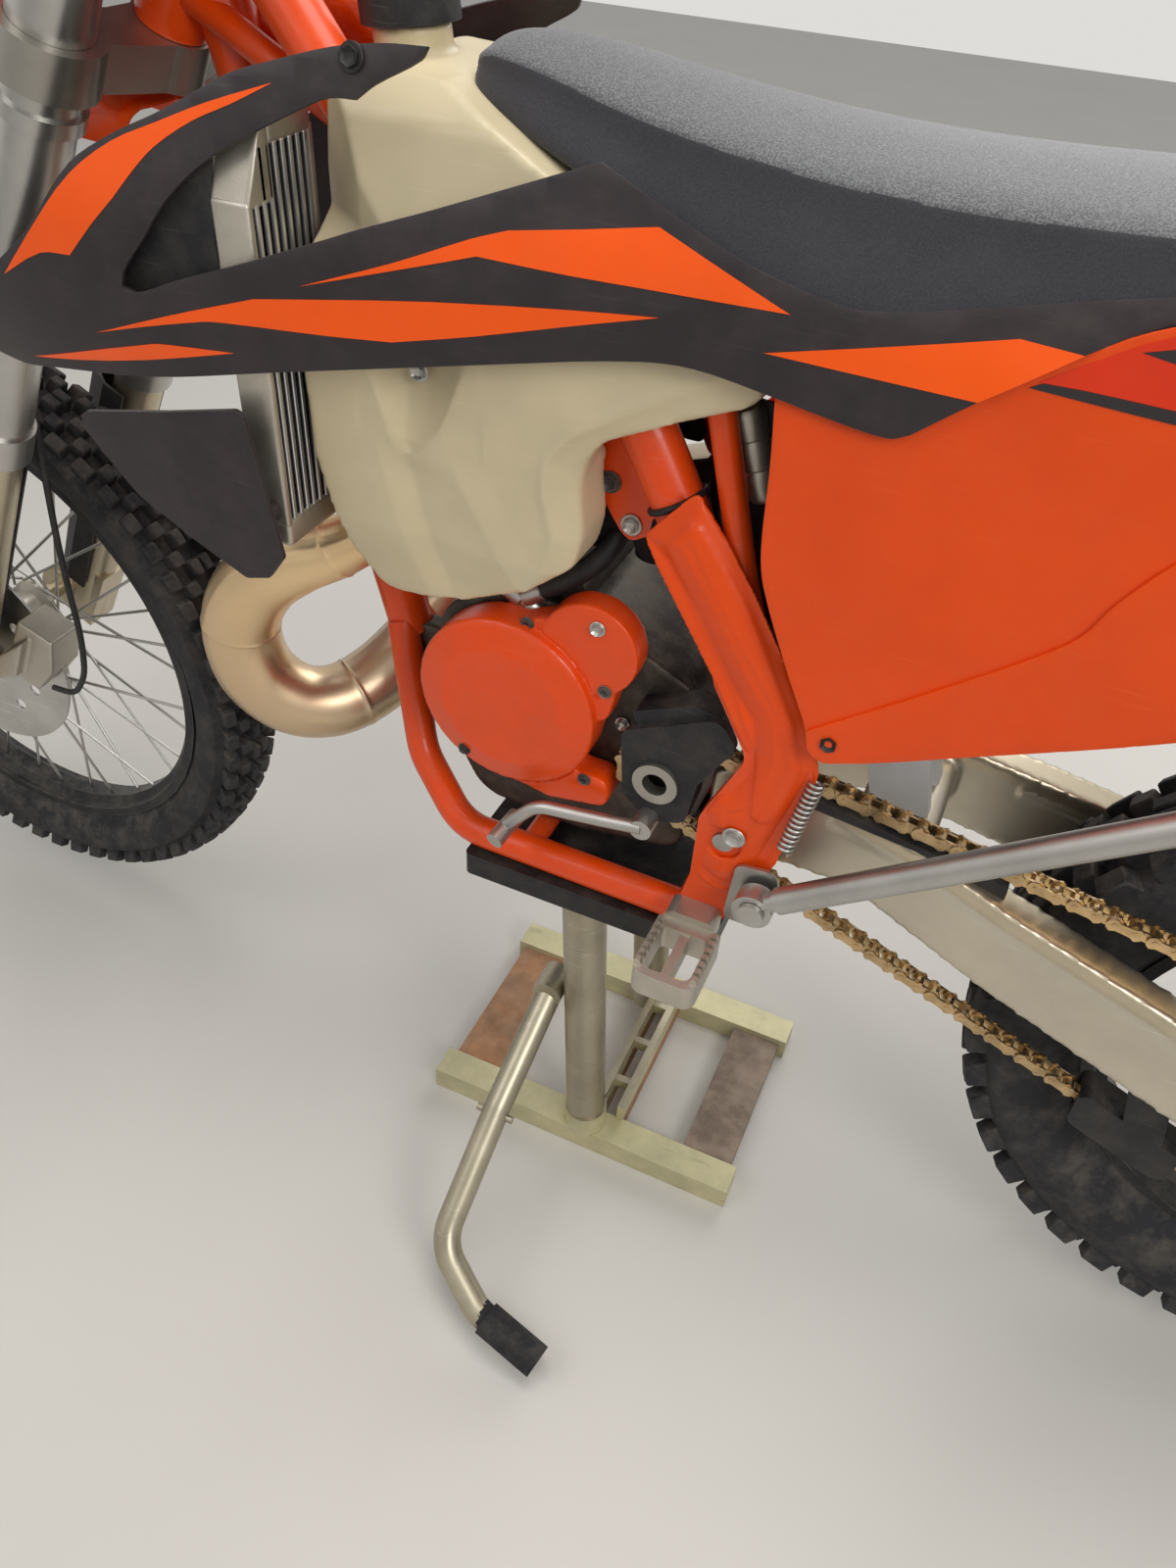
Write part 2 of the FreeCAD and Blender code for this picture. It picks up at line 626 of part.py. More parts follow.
def lamp_mask():
    # rows: distance up the fork, half width, how far in front of the legs
    rows = [(712, 62, 78), (782, 104, 96), (872, 112, 92), (950, 88, 76), (1000, 50, 58)]
    sections = []
    for along, half, front in rows:
        c = FORK_FOOT + DIR * along
        side = FreeCAD.Vector(0, 1, 0)
        outer = [c + NORMAL * -MASK_BACK - side * half, c + NORMAL * (-front + 14) - side * (0.8 * half),
                 c + NORMAL * -front - side * (0.45 * half), c + NORMAL * -front + side * (0.45 * half),
                 c + NORMAL * (-front + 14) + side * (0.8 * half), c + NORMAL * -MASK_BACK + side * half]
        inner = [c + NORMAL * -MASK_BACK + side * (half - 4), c + NORMAL * (-front + 19) + side * (0.8 * half - 4),
                 c + NORMAL * (-front + 5) + side * (0.43 * half), c + NORMAL * (-front + 5) - side * (0.43 * half),
                 c + NORMAL * (-front + 19) - side * (0.8 * half - 4), c + NORMAL * -MASK_BACK - side * (half - 4)]
        sections.append(outer + inner)
    return loft(sections)


def headlamp():
    c = FORK_FOOT + DIR * LAMP_AT
    pot = rod(c + NORMAL * -60, c + NORMAL * -104, 52)
    return pot


mask = lamp_mask()
lamp = headlamp()
keep("headlamp", lamp)
keep("lamp_mask", mask.cut(rod(FORK_FOOT + DIR * LAMP_AT + NORMAL * -40, FORK_FOOT + DIR * LAMP_AT + NORMAL * -140,
                               52 + RUNNING_GAP)))


def fork_guard(y):
    # A long shield in front of the stanchion, from the foot up past the seal head.
    side = FreeCAD.Vector(0, 1, 0)
    sections = []
    for along, half, front in ((40, 30, 32), (150, 34, 36), (340, 36, 40)):
        c = on_fork(along, y)
        outer = [c + NORMAL * 8 - side * half, c + NORMAL * -16 - side * half, c + NORMAL * -front - side * (half * 0.6),
                 c + NORMAL * -front + side * (half * 0.6), c + NORMAL * -16 + side * half, c + NORMAL * 8 + side * half]
        inner = [c + NORMAL * 8 + side * (half - 3), c + NORMAL * -15 + side * (half - 3),
                 c + NORMAL * (-front + 3) + side * (half * 0.6 - 2), c + NORMAL * (-front + 3) - side * (half * 0.6 - 2),
                 c + NORMAL * -15 - side * (half - 3), c + NORMAL * 8 - side * (half - 3)]
        sections.append(outer + inner)
    screws = [rod(on_fork(50, y + s * (INNER_R + RUNNING_GAP)), on_fork(50, y + s * 28), 6) for s in (-1, 1)]
    shield = loft(sections).cut(foot_block(y, 0.5))
    return join([shield] + screws)


keep("fork_guards", both_sides(fork_guard(-FORK_HALF_GAP)))


def front_caliper():
    # The caliper sits behind the leg and straddles the disc.
    c = AXLE + NORMAL * 86 + DIR * 78
    y = FRONT_DISC_Y
    side = FreeCAD.Vector(0, 1, 0)
    outline = [c + NORMAL * -26 + DIR * -42, c + NORMAL * 18 + DIR * -42, c + NORMAL * 30 + DIR * 0,
               c + NORMAL * 22 + DIR * 44, c + NORMAL * -22 + DIR * 40]
    body = Part.Face(polygon([p + side * (y - 24) for p in outline])).extrude(side * 42)
    slot = Part.makeCylinder(FRONT_DISC_R + 4, DISC_T + 3, AXLE + side * (y - (DISC_T + 3) / 2), side)
    ear = [AXLE + NORMAL * (AXLE_LEAD + 25.5) + DIR * 16, c + NORMAL * -4 + DIR * -30, c + NORMAL * -4 + DIR * 30,
           AXLE + NORMAL * (AXLE_LEAD + 25.5) + DIR * 56]
    bracket = Part.Face(polygon([p + side * (y - 36) for p in ear])).extrude(side * 14)
    return join([body.cut(slot), bracket])


keep("front_caliper", front_caliper())

# Frame
TUBE_R = 20.0
DOWN_R = 21.0
CRADLE_R = 15.0
CRADLE_Z = 440.0
CRADLE_Y = 86.0
HEAD_GAP = 0.6
CROSS_R = 11.0
ENGINE_REST_X = 720.0
HEAD_START = LOWER_CLAMP_AT + LOWER_CLAMP_H / 2 + HEAD_GAP
HEAD_END = UPPER_CLAMP_AT - UPPER_CLAMP_H / 2 - HEAD_GAP
PLATE_IN = 90.0
PLATE_OUT = 104.0
PIVOT_R = 9.0


STAY_PATH = [at(850, -80, 905), at(885, -88, 790), at(905, -92, 735)]
STAY_Y = 54.0
TAB_T = 6.0
# Outline of the welded tab that holds the engine's head stays: x, z, corner radius
ENGINE_TAB = [(764, 900, 6), (802, 878, 0), (842, 812, 0), (828, 798, 8), (806, 802, 8), (786, 838, 20),
              (762, 860, 10)]


def perimeter_path(y_sign):
    head = on_steer(HEAD_END - 45, 12 * y_sign)
    return [head, at(560, 46 * y_sign, 1030), at(790, 70 * y_sign, 885), at(888, 82 * y_sign, 725)]


def pivot_plate():
    # The forged side plate that carries the swingarm's pin, the peg and the side stand.
    outline = [(868, 742, 8), (902, 760, 8), (955, 684, 30), (968, 640, 20), (952, 536, 20), (925, 470, 14),
               (905, 432, 10), (872, 432, 10), (884, 500, 14), (884, 567, 20), (915, 640, 20), (880, 700, 10)]
    return side_plate(outline, -PLATE_OUT, -PLATE_IN)


def frame_side():
    main = tube(perimeter_path(-1), TUBE_R, 90)
    cradle = tube([at(548, -10, 596), at(592, -56, 486), at(650, -CRADLE_Y, CRADLE_Z),
                   at(890, -PLATE_OUT + CRADLE_R, CRADLE_Z)], CRADLE_R, 60)
    stay = tube(STAY_PATH, 10, 60)
    head_stay = rod(on_steer(HEAD_START + 30, -8), at(600, -50, 1003), 11)
    engine_tab = side_plate(ENGINE_TAB, -STAY_Y - TAB_T, -STAY_Y)
    return [main, cradle, stay, pivot_plate(), head_stay, engine_tab]


def frame():
    head = rod(on_steer(HEAD_START), on_steer(HEAD_END), HEAD_R)
    down = rod(on_steer(HEAD_START + 80), at(552, 0, 586), DOWN_R)
    left = frame_side()
    right = [mirrored(s) for s in left]
    low_cross = across(ENGINE_REST_X, CRADLE_Z, -CRADLE_Y, CRADLE_Y, CROSS_R)
    back_cross = across(884, 452, -PLATE_IN - 2, PLATE_IN + 2, 12)
    top_cross = across(790, 885, -74, 74, 12)
    whole = join([head, down, low_cross, back_cross, top_cross] + left + right)
    bore = rod(on_steer(HEAD_START - 40), on_steer(HEAD_END + 40), STEM_R + RUNNING_GAP)
    pin = across(PIVOT_X, PIVOT_Z, -PLATE_OUT - 5, PLATE_OUT + 5, PIVOT_R + RUNNING_GAP)
    return whole.cut(bore).cut(pin)


frame_body = frame()
left_front = tube([at(548, -10, 596), at(592, -56, 486), at(650, -CRADLE_Y, CRADLE_Z),
                   at(700, -CRADLE_Y, CRADLE_Z)], CRADLE_R + RUNNING_GAP, 60)
at_frame_front = Part.makeCompound([left_front, mirrored(left_front)])
keep("frame", frame_body)

# Plastic guards over the frame's side plates
GUARD_T = 5.0
RIDGE_STEP = 1.4


def frame_guard():
    outline = [(812, 808, 6), (848, 852, 6), (900, 786, 40), (957, 690, 40), (972, 645, 20), (954, 540, 20),
               (914, 488, 14), (890, 500, 12), (884, 566, 20), (917, 642, 26), (881, 704, 30), (848, 754, 20)]
    low = -PLATE_OUT - RUNNING_GAP - GUARD_T
    plate = side_plate(outline, low, low + GUARD_T)
    ridge = [(830, 806, 6), (849, 835, 6), (892, 780, 40), (946, 688, 40), (959, 646, 20), (948, 590, 20),
             (930, 584, 14), (926, 642, 26), (892, 708, 30), (858, 758, 20)]
    for step in (1, 2):
        inset = 3.0 * (step - 1)
        line = [(x + (inset if x < 893 else -inset) * 0.6, z - inset * (0.5 if z > 700 else -0.5), r)
                for x, z, r in ridge]
        plate = plate.fuse(side_plate(line, low - RIDGE_STEP * step, low + 1))
    plate = plate.removeSplitter()
    return plate.cut(across(PIVOT_X, PIVOT_Z, low - 1, low + GUARD_T + 1, PIVOT_R + 7))


keep("frame_guards", both_sides(frame_guard()))

# Swingarm: two tapering beams, the cross box in front of the tyre and the pivot tube
# Rows: share of the way from the pivot to the axle, height, corner radius
ARM_SPAN = WHEELBASE - PIVOT_X
ARM_TOP = [(-0.049, 588, 14), (0.030, 604, 20), (0.259, 590, 60), (0.638, 536, 40), (0.913, 462, 30),
           (1.091, 446, 10)]
ARM_LOW = [(1.091, 378, 10), (0.930, 372, 30), (0.696, 434, 40), (0.185, 520, 40), (0.030, 505, 20),
           (-0.049, 524, 14)]


def on_arm(share):
    return PIVOT_X + share * ARM_SPAN


def arm_outline():
    return [(on_arm(share), z, r) for share, z, r in ARM_TOP + ARM_LOW]


def arm_edge(rows, x):
    # Height of the arm's upper or lower edge at x.
    share = (x - PIVOT_X) / ARM_SPAN
    for (s0, z0, _), (s1, z1, _) in zip(rows, rows[1:]):
        if min(s0, s1) <= share <= max(s0, s1):
            return z0 + (z1 - z0) * (share - s0) / (s1 - s0)
    return rows[0][1]


# The box between the beams takes its place from the room in front of the tyre.
ARM_ROOM = WHEELBASE - 0.94 * REAR_TYRE_R - PIVOT_X
BOX_X = (PIVOT_X + 0.37 * ARM_ROOM, PIVOT_X + 0.64 * ARM_ROOM)
BOX_TOP = (585.0, 570.0)


def box_top(x):
    return BOX_TOP[0] + (BOX_TOP[1] - BOX_TOP[0]) * (x - BOX_X[0]) / (BOX_X[1] - BOX_X[0])


def swingarm():
    side = side_plate(arm_outline(), -140, 0)
    rows = [(-0.066, -46, 0), (0.073, -46, 60), (0.400, -72, 60), (0.685, -94, 60), (1.105, -96, 0),
            (1.105, -124, 0), (0.685, -124, 60), (0.400, -104, 60), (0.231, -84, 60), (0.073, -66, 60),
            (-0.066, -66, 0)]
    plan = top_plate([(on_arm(share), y, r) for share, y, r in rows], 300, 700)
    left = side.common(plan)
    cross = side_plate([(BOX_X[0], BOX_TOP[0], 10), (BOX_X[1], BOX_TOP[1], 14), (BOX_X[1], 528, 14),
                        (BOX_X[0], 530, 10)], -62, 62)
    pivot = across(PIVOT_X, PIVOT_Z, -60, 60, 24)
    whole = join([left, mirrored(left), cross, pivot])
    bolt = across(PIVOT_X, PIVOT_Z, -90, 90, PIVOT_R + RUNNING_GAP)
    slot_side = []
    for sign in (-1, 1):
        slot = side_plate([(WHEELBASE - 32, REAR_AXLE_Z + 13, 12.5), (WHEELBASE + 28, REAR_AXLE_Z + 13, 12.5),
                           (WHEELBASE + 28, REAR_AXLE_Z - 13, 12.5), (WHEELBASE - 32, REAR_AXLE_Z - 13, 12.5)],
                          90 * sign - 40, 90 * sign + 40)
        slot_side.append(slot)
    return whole.cut(bolt).cut(slot_side[0]).cut(slot_side[1])


swing = swingarm()
keep("swingarm", swing)
swing_beam_room = side_plate([(x, z + 0.4 * (1 if z > 480 else -1), r) for x, z, r in arm_outline()], -140, 0)
pivot_bolt = across(PIVOT_X, PIVOT_Z, -PLATE_OUT - 3, PLATE_OUT + 3, PIVOT_R)
rear_axle = across(WHEELBASE, REAR_AXLE_Z, -132, 132, R["axle_r"])
axle_head = across(WHEELBASE, REAR_AXLE_Z, -136, -124.3, 18)
axle_nut = across(WHEELBASE, REAR_AXLE_Z, 124.3, 136, 18)
keep("axle_bolts", Part.makeCompound([pivot_bolt, join([rear_axle, axle_head, axle_nut])]))

# Chain guide below the arm and slider above it
GUIDE_X = (WHEELBASE - 234.0, WHEELBASE - 140.0)
GUIDE_Y = (CHAIN_Y - 17.0, CHAIN_Y + 14.0)
GUIDE_WALL = 12.0
ROOM = PLATE_H + 2.5
guide = side_plate([(GUIDE_X[0], low_run(GUIDE_X[0], -ROOM - GUIDE_WALL + 4), 8),
                    (GUIDE_X[1], low_run(GUIDE_X[1], -ROOM - GUIDE_WALL + 4), 8),
                    (GUIDE_X[1], low_run(GUIDE_X[1], ROOM + GUIDE_WALL), 12),
                    (GUIDE_X[0], low_run(GUIDE_X[0], ROOM + GUIDE_WALL), 12)], GUIDE_Y[0], GUIDE_Y[1])
guide_slot = side_plate([(GUIDE_X[0] - 20, low_run(GUIDE_X[0] - 20, -ROOM), 0),
                         (GUIDE_X[1] + 20, low_run(GUIDE_X[1] + 20, -ROOM), 0),
                         (GUIDE_X[1] + 20, low_run(GUIDE_X[1] + 20, ROOM), 0),
                         (GUIDE_X[0] - 20, low_run(GUIDE_X[0] - 20, ROOM), 0)],
                        CHAIN_Y - CHAIN_HALF - 2, CHAIN_Y + CHAIN_HALF + 2)
LEG_X = (GUIDE_X[0] + 22, GUIDE_X[0] + 60)
guide_leg = side_plate([(LEG_X[0], arm_edge(ARM_LOW, LEG_X[0]) + 14, 4), (LEG_X[1], arm_edge(ARM_LOW, LEG_X[1]) + 12, 4),
                        (LEG_X[1] + 20, low_run(LEG_X[1] + 20), 4), (LEG_X[0] + 22, low_run(LEG_X[0] + 22), 4)],
                       GUIDE_Y[0], GUIDE_Y[0] + 6)
lower_guide = join([guide, guide_leg]).cut(guide_slot).cut(swing_beam_room)


def top_run(x, offset=0.0):
    # Height of the chain's upper run behind the slider, or of a line beside it.
    rear = FreeCAD.Vector(WHEELBASE, REAR_AXLE_Z, 0)
    way = FreeCAD.Vector(SLIDER_X, SLIDER_Z, 0) - rear
    a = math.atan2(way.y, way.x) - math.acos(REAR_PITCH_R / way.Length)
    end = rear + FreeCAD.Vector(math.cos(a), math.sin(a), 0) * REAR_PITCH_R
    return SLIDER_Z + offset + (end.y - SLIDER_Z) * (x - SLIDER_X) / (end.x - SLIDER_X)


# The slider strip lies on the arm, just under the chain's upper run.
SLIDER_GAP = 0.8
STRIP_SPARE = 6.56
STRIP_END = WHEELBASE - REAR_TYRE_R - STRIP_SPARE
under = -PLATE_H - SLIDER_GAP
strip = side_plate([(SLIDER_X - 36, SLIDER_Z + under - 3, 2), (SLIDER_X, SLIDER_Z + under, 20),
                    (STRIP_END, top_run(STRIP_END, under), 2), (STRIP_END, top_run(STRIP_END, under) - 30, 2),
                    (SLIDER_X - 36, SLIDER_Z + under - 16, 2)], CHAIN_Y - CHAIN_HALF - 3, CHAIN_Y + CHAIN_HALF + 14)
keep("chain_guide", Part.makeCompound([lower_guide, strip.cut(swing_beam_room)]))

# Shock absorber and its linkage, under the seat and in front of the tyre
SHOCK_TOP = at(985, 0, 905)
SHOCK_LOW = at(1000, 0, 640)
shock_way = SHOCK_LOW - SHOCK_TOP
shock_way.normalize()
coils = [rod(SHOCK_TOP, SHOCK_LOW, 9), rod(SHOCK_TOP + shock_way * 30, SHOCK_TOP + shock_way * 120, 24)]
for i in range(9):
    coils.append(rod(SHOCK_TOP + shock_way * (62 + 20 * i), SHOCK_TOP + shock_way * (73 + 20 * i), 37))
coils.append(rod(SHOCK_TOP + shock_way * 52, SHOCK_TOP + shock_way * 58, 39))
coils.append(rod(SHOCK_TOP + shock_way * 52, SHOCK_TOP + shock_way * 240, 30))
coils.append(across(985, 905, -16, 16, 16))
coils.append(across(1000, 640, -16, 16, 16))
MOUNT_X = (BOX_X[0] + 6, BOX_X[1] - 10)
shock_mount = side_plate([(MOUNT_X[0], box_top(MOUNT_X[0]) + 0.4, 4), (MOUNT_X[1], box_top(MOUNT_X[1]) + 0.4, 4),
                          (1040, 655, 14), (985, 655, 14)], -30, -17)
keep("shock_absorber", join(coils + [shock_mount, mirrored(shock_mount), across(1000, 640, -30, 30, 7)]))

# Engine: the cases as one block, with the output shaft and drive sprocket, and the cylinder
CASE_LEFT = -64.0
CASE_RIGHT = 84.0
CRANK_X = 700.0
CRANK_Z = 612.0
cases = side_plate([(612, 560, 40), (622, 668, 40), (690, 706, 20), (760, 700, 20), (860, 655, 30),
                    (872, 560, 30), (858, 480, 20), (760, 463, 20), (660, 470, 40)], CASE_LEFT, CASE_RIGHT)
shaft = across(DRIVE_X, DRIVE_Z, CHAIN_Y - SPROCKET_T / 2, CASE_LEFT + 2, 14)
drive = sprocket(DRIVE_X, DRIVE_Z, DRIVE_PITCH_R, DRIVE_TEETH, 6.0, SPROCKET_T)
low_lug = Part.makeBox(24, 60, 20, at(ENGINE_REST_X - 12, -30, CRADLE_Z + CROSS_R + RUNNING_GAP))
nose_lug = side_plate([(546, 560, 0), (618, 560, 0), (618, 600, 0), (546, 600, 0)], -11, 11)
nose_lug = nose_lug.cut(rod(on_steer(HEAD_START + 80), at(552, 0, 586), DOWN_R + RUNNING_GAP))
nose_lug = nose_lug.cut(at_frame_front)
keep("engine_cases", join([cases, shaft, drive, low_lug, nose_lug]))

barrel_foot = side_plate([(642, 706.3, 0), (750, 701.3, 0), (748, 722, 6), (640, 722, 6)], -52, 52)
barrel = side_plate([(648, 716, 6), (744, 716, 6), (734, 836, 10), (640, 836, 10)], -46, 46)
head_cap = side_plate([(634, 834, 4), (738, 834, 4), (730, 868, 16), (642, 868, 16)], -50, 50)
plug = rod(at(688, 0, 866), at(684, 0, 905), 11)
port = rod(at(655, 0, 770), at(612, -4, 752), 26)
barrel_foot = barrel_foot.cut(cases)
head_stay_plate = side_plate([(700, 842, 6), (742, 838, 0), (786, 812, 8), (804, 812, 8), (800, 828, 8),
                              (744, 866, 8), (704, 864, 6)], -STAY_Y + RUNNING_GAP, -49.0)
barrel_ribs = [side_plate([(640 - 3, z, 0), (746 - 0.08 * (z - 716), z, 0), (746 - 0.08 * (z - 716), z + 5, 0),
                           (640 - 3, z + 5, 0)], -49, 49) for z in (742, 800)]
cylinder = join([barrel_foot, barrel, head_cap, plug, port, head_stay_plate,
                 mirrored(head_stay_plate)] + barrel_ribs)
keep("engine_cylinder", cylinder)

COVER_T = 38.0


def ignition_cover():
    y_in = CASE_LEFT - RUNNING_GAP
    big = across(CRANK_X, CRANK_Z, y_in - COVER_T, y_in, 82)
    ring = across(CRANK_X, CRANK_Z, y_in - COVER_T - 3, y_in - COVER_T, 58)
    lobe = across(771, 686, y_in - 26, y_in, 42)
    tail = side_plate([(640, 560, 10), (745, 560, 10), (800, 560, 14), (797, 530, 10), (742, 520, 20),
                       (668, 535, 30)], y_in - 30, y_in)
    neck = side_plate([(700, 690, 10), (771, 722, 20), (808, 700, 20), (790, 620, 10), (720, 600, 10)],
                      y_in - 24, y_in)
    whole = join([big, ring, lobe, tail, neck])
    chain_room = across(DRIVE_X, DRIVE_Z, CHAIN_Y - 30, CHAIN_Y + 12, DRIVE_PITCH_R + PLATE_H + 3)
    return whole.cut(chain_room)


keep("ignition_cover", ignition_cover())
cover_y = CHAIN_Y - CHAIN_HALF - 2.0
sprocket_cover = side_plate([(806, 622, 12), (886, 662, 12), (904, 640, 10), (876, 590, 10), (870, 545, 12),
                             (838, 534, 12), (812, 556, 12)], cover_y - 8, cover_y)
cover_leg = side_plate([(812, 640, 4), (862, 664, 4), (886, 660, 4), (886, 648, 4), (820, 626, 4)],
                       cover_y - 2, CASE_LEFT - RUNNING_GAP)
cover_ring = across(DRIVE_X + 3, DRIVE_Z + 3, cover_y - 12, cover_y - 8, 20)
cover_hole = across(DRIVE_X + 3, DRIVE_Z + 3, cover_y - 14, cover_y + 2, 11)
keep("sprocket_cover", join([sprocket_cover, cover_leg, cover_ring]).cut(cover_hole))
clutch = join([across(790, 560, CASE_RIGHT + RUNNING_GAP, 108, 78),
               across(CRANK_X, CRANK_Z, CASE_RIGHT + RUNNING_GAP, 100, 56),
               across(790, 560, 107, 112, 60)])
keep("clutch_cover", clutch)


def tapered_pipe(stations):
    # Welded cones: a circle at each station, square to the way the pipe runs there.
    # Every circle starts in line with the one before it, so the cones don't twist.
    rings = []
    upright = FreeCAD.Vector(0, 0, 1)
    for i in range(len(stations)):
        x, y, z, r = stations[i]
        here = at(x, y, z)
        before = at(*stations[max(i - 1, 0)][:3])
        after = at(*stations[min(i + 1, len(stations) - 1)][:3])
        way = (after - before).normalize()
        upright = (upright - way * upright.dot(way)).normalize()
        ring = Part.makeCircle(r)
        ring.Placement = FreeCAD.Placement(here, FreeCAD.Rotation(upright, way.cross(upright), way, "ZXY"))
        rings.append(Part.Wire([ring]))
    return Part.makeLoft(rings, True, True)


# rows: x, y, z, radius
CHAMBER_ROWS = [(611.7, -4, 751.9, 21), (597, -5.4, 745.75, 21.5), (578, -22, 733, 22), (552, -44, 714, 24), (518, -58, 692, 28),
           (475, -64, 670, 33), (428, -62, 632, 37), (398, -60, 578, 38), (402, -56, 520, 38),
           (430, -40, 482, 38), (462, -8, 470, 38), (492, 36, 486, 38), (528, 86, 532, 38),
           (576, 130, 594, 38), (640, 160, 650, 36), (720, 172, 696, 34), (820, 172, 742, 28),
           (900, 168, 778, 20), (982.7, 153.2, 805.9, 14),
           (1060.1, 152, 825.9, 14)]


def finer(rows):
    # One more station between each pair, on a smooth line through the rows around it.
    whole = [rows[0]]
    for i in range(len(rows) - 1):
        a, b = rows[max(i - 1, 0)], rows[i]
        c, d = rows[i + 1], rows[min(i + 2, len(rows) - 1)]
        if 0 < i < len(rows) - 2:
            whole.append(tuple((9 * (q + s) - (p + t)) / 16 for p, q, s, t in zip(a, b, c, d)))
        whole.append(c)
    return whole


CHAMBER = finer(CHAMBER_ROWS)
keep("exhaust_chamber", tapered_pipe(CHAMBER))
SILENCER_A = at(1060.5, 152, 826)
SILENCER_B = at(1440, 146, 924)
sil_way = SILENCER_B - SILENCER_A
sil_way.normalize()
silencer = join([rod(SILENCER_A + sil_way * 40, SILENCER_B, 46),
                 Part.makeCone(18, 46, 40, SILENCER_A, sil_way),
                 Part.makeCone(46, 24, 30, SILENCER_B, sil_way),
                 rod(SILENCER_B, SILENCER_B + sil_way * 62, 15)])
keep("silencer", silencer)

# Foot controls, pegs and side stand
shift = join([tube([at(838, -112, 540), at(800, -114, 535), at(742, -118, 530), at(716, -122, 500)], 6, 30),
              rod(at(718, -106, 498), at(712, -140, 492), 8),
              across(838, 540, -116, cover_y - 8 - RUNNING_GAP, 10)])
brake = join([tube([at(846, 122, 441), at(800, 124, 452), at(742, 126, 472), at(700, 130, 496)], 6, 30),
              across(846, 440.5, PLATE_OUT - 0.2, 128, 13), across(700, 496, 112, 144, 9)])


keep("foot_levers", Part.makeCompound([shift, brake]))


def foot_peg():
    y_in = -PLATE_OUT - RUNNING_GAP
    mount = side_plate([(872, 470, 8), (918, 470, 8), (918, 436, 10), (872, 436, 10)], y_in - 22, y_in)
    frame_ring = top_plate([(868, y_in - 92, 12), (926, y_in - 92, 12), (926, y_in - 22, 4), (868, y_in - 22, 4)],
                           436, 462)
    hole = top_plate([(876, y_in - 84, 8), (918, y_in - 84, 8), (918, y_in - 34, 4), (876, y_in - 34, 4)],
                     430, 470)
    bar = top_plate([(893, y_in - 86, 0), (901, y_in - 86, 0), (901, y_in - 30, 0), (893, y_in - 30, 0)], 438, 460)
    teeth = []
    for i in range(7):
        y = y_in - 84 + i * 8.5
        for x in (868, 918):
            teeth.append(side_plate([(x, 461, 0), (x + 8, 461, 0), (x + 6, 468, 0), (x + 2, 468, 0)], y, y + 5))
    return join([mount, frame_ring.cut(hole), bar] + teeth)


peg = foot_peg()
keep("foot_pegs", both_sides(peg))
STAND_PIVOT = (948.0, -127.0, 512.0)
STAND_ANGLE = math.radians(41.0)
STAND_LENGTH = 415.0
STAND_TUBE_R = 11.5
stand_foot = at(STAND_PIVOT[0] + STAND_LENGTH * math.cos(STAND_ANGLE), STAND_PIVOT[1] - 30,
                STAND_PIVOT[2] + STAND_LENGTH * math.sin(STAND_ANGLE))
stand_hub = at(*STAND_PIVOT)
stand_way = stand_foot - stand_hub
stand_way.normalize()
leg = rod(stand_hub + stand_way * 26, stand_foot, STAND_TUBE_R)
eye = across(STAND_PIVOT[0], STAND_PIVOT[2], STAND_PIVOT[1] - 9, STAND_PIVOT[1] + 9, 17)
shoulder = rod(stand_hub + stand_way * 6, stand_hub + stand_way * 30, 8.5)
foot_pad = rod(stand_foot, stand_foot + stand_way * 8, 24)
stand_pin_r = 6.0
side_stand = join([leg, eye, shoulder, foot_pad])
side_stand = side_stand.cut(across(STAND_PIVOT[0], STAND_PIVOT[2], STAND_PIVOT[1] - 20, STAND_PIVOT[1] + 20,
                                   stand_pin_r + RUNNING_GAP))
keep("side_stand", side_stand)
bracket = side_plate([(924, 536, 8), (958, 540, 12), (968, 505, 14), (940, 470, 10), (920, 470, 8)],
                     -PLATE_OUT - 5.6 - 3.0, -PLATE_OUT - 5.6)
bracket_foot = across(930, 480, -PLATE_OUT - 6, -PLATE_OUT - RUNNING_GAP, 6)
stand_pin = across(STAND_PIVOT[0], STAND_PIVOT[2], STAND_PIVOT[1] - 14, -PLATE_OUT - 5.6 - 1, stand_pin_r)
pin_head = across(STAND_PIVOT[0], STAND_PIVOT[2], STAND_PIVOT[1] - 14, STAND_PIVOT[1] - 9.6, 11)
keep("stand_bracket", join([bracket, bracket_foot, stand_pin, pin_head]))

# Radiators behind their grilles, one each side of the downtube
RAD_X = (505.0, 541.0)
RAD_Y = (-144.5, -64.0)
RAD_Z = (738.0, 1043.0)
TANK_FRONT = 545.0


def radiator():
    front = [(RAD_Y[1], RAD_Z[0]), (RAD_Y[0], RAD_Z[0]), (RAD_Y[0], RAD_Z[1] - 55), (RAD_Y[0] + 26, RAD_Z[1]),
             (RAD_Y[1], RAD_Z[1])]
    core = Part.Face(polygon([at(RAD_X[0], y, z) for y, z in front])).extrude(
        FreeCAD.Vector(RAD_X[1] - RAD_X[0], 0, 0))
    fins = []
    step = 11.0
    count = int((RAD_Y[1] - RAD_Y[0] - 26) / step)
    for i in range(count):
        y = RAD_Y[0] + 22 + i * step
        for x in (RAD_X[0] - 1, RAD_X[1] - 3):
            fins.append(Part.makeBox(4, 5, RAD_Z[1] - RAD_Z[0] - 30, at(x, y, RAD_Z[0] + 15)))
    lug = Part.makeBox(TANK_FRONT - RUNNING_GAP - RAD_X[1] + 4, 24, 40, at(RAD_X[1] - 4, -104, 880))
    return join([core.cut(Part.makeCompound(fins)), lug])


keep("radiators", both_sides(radiator()))

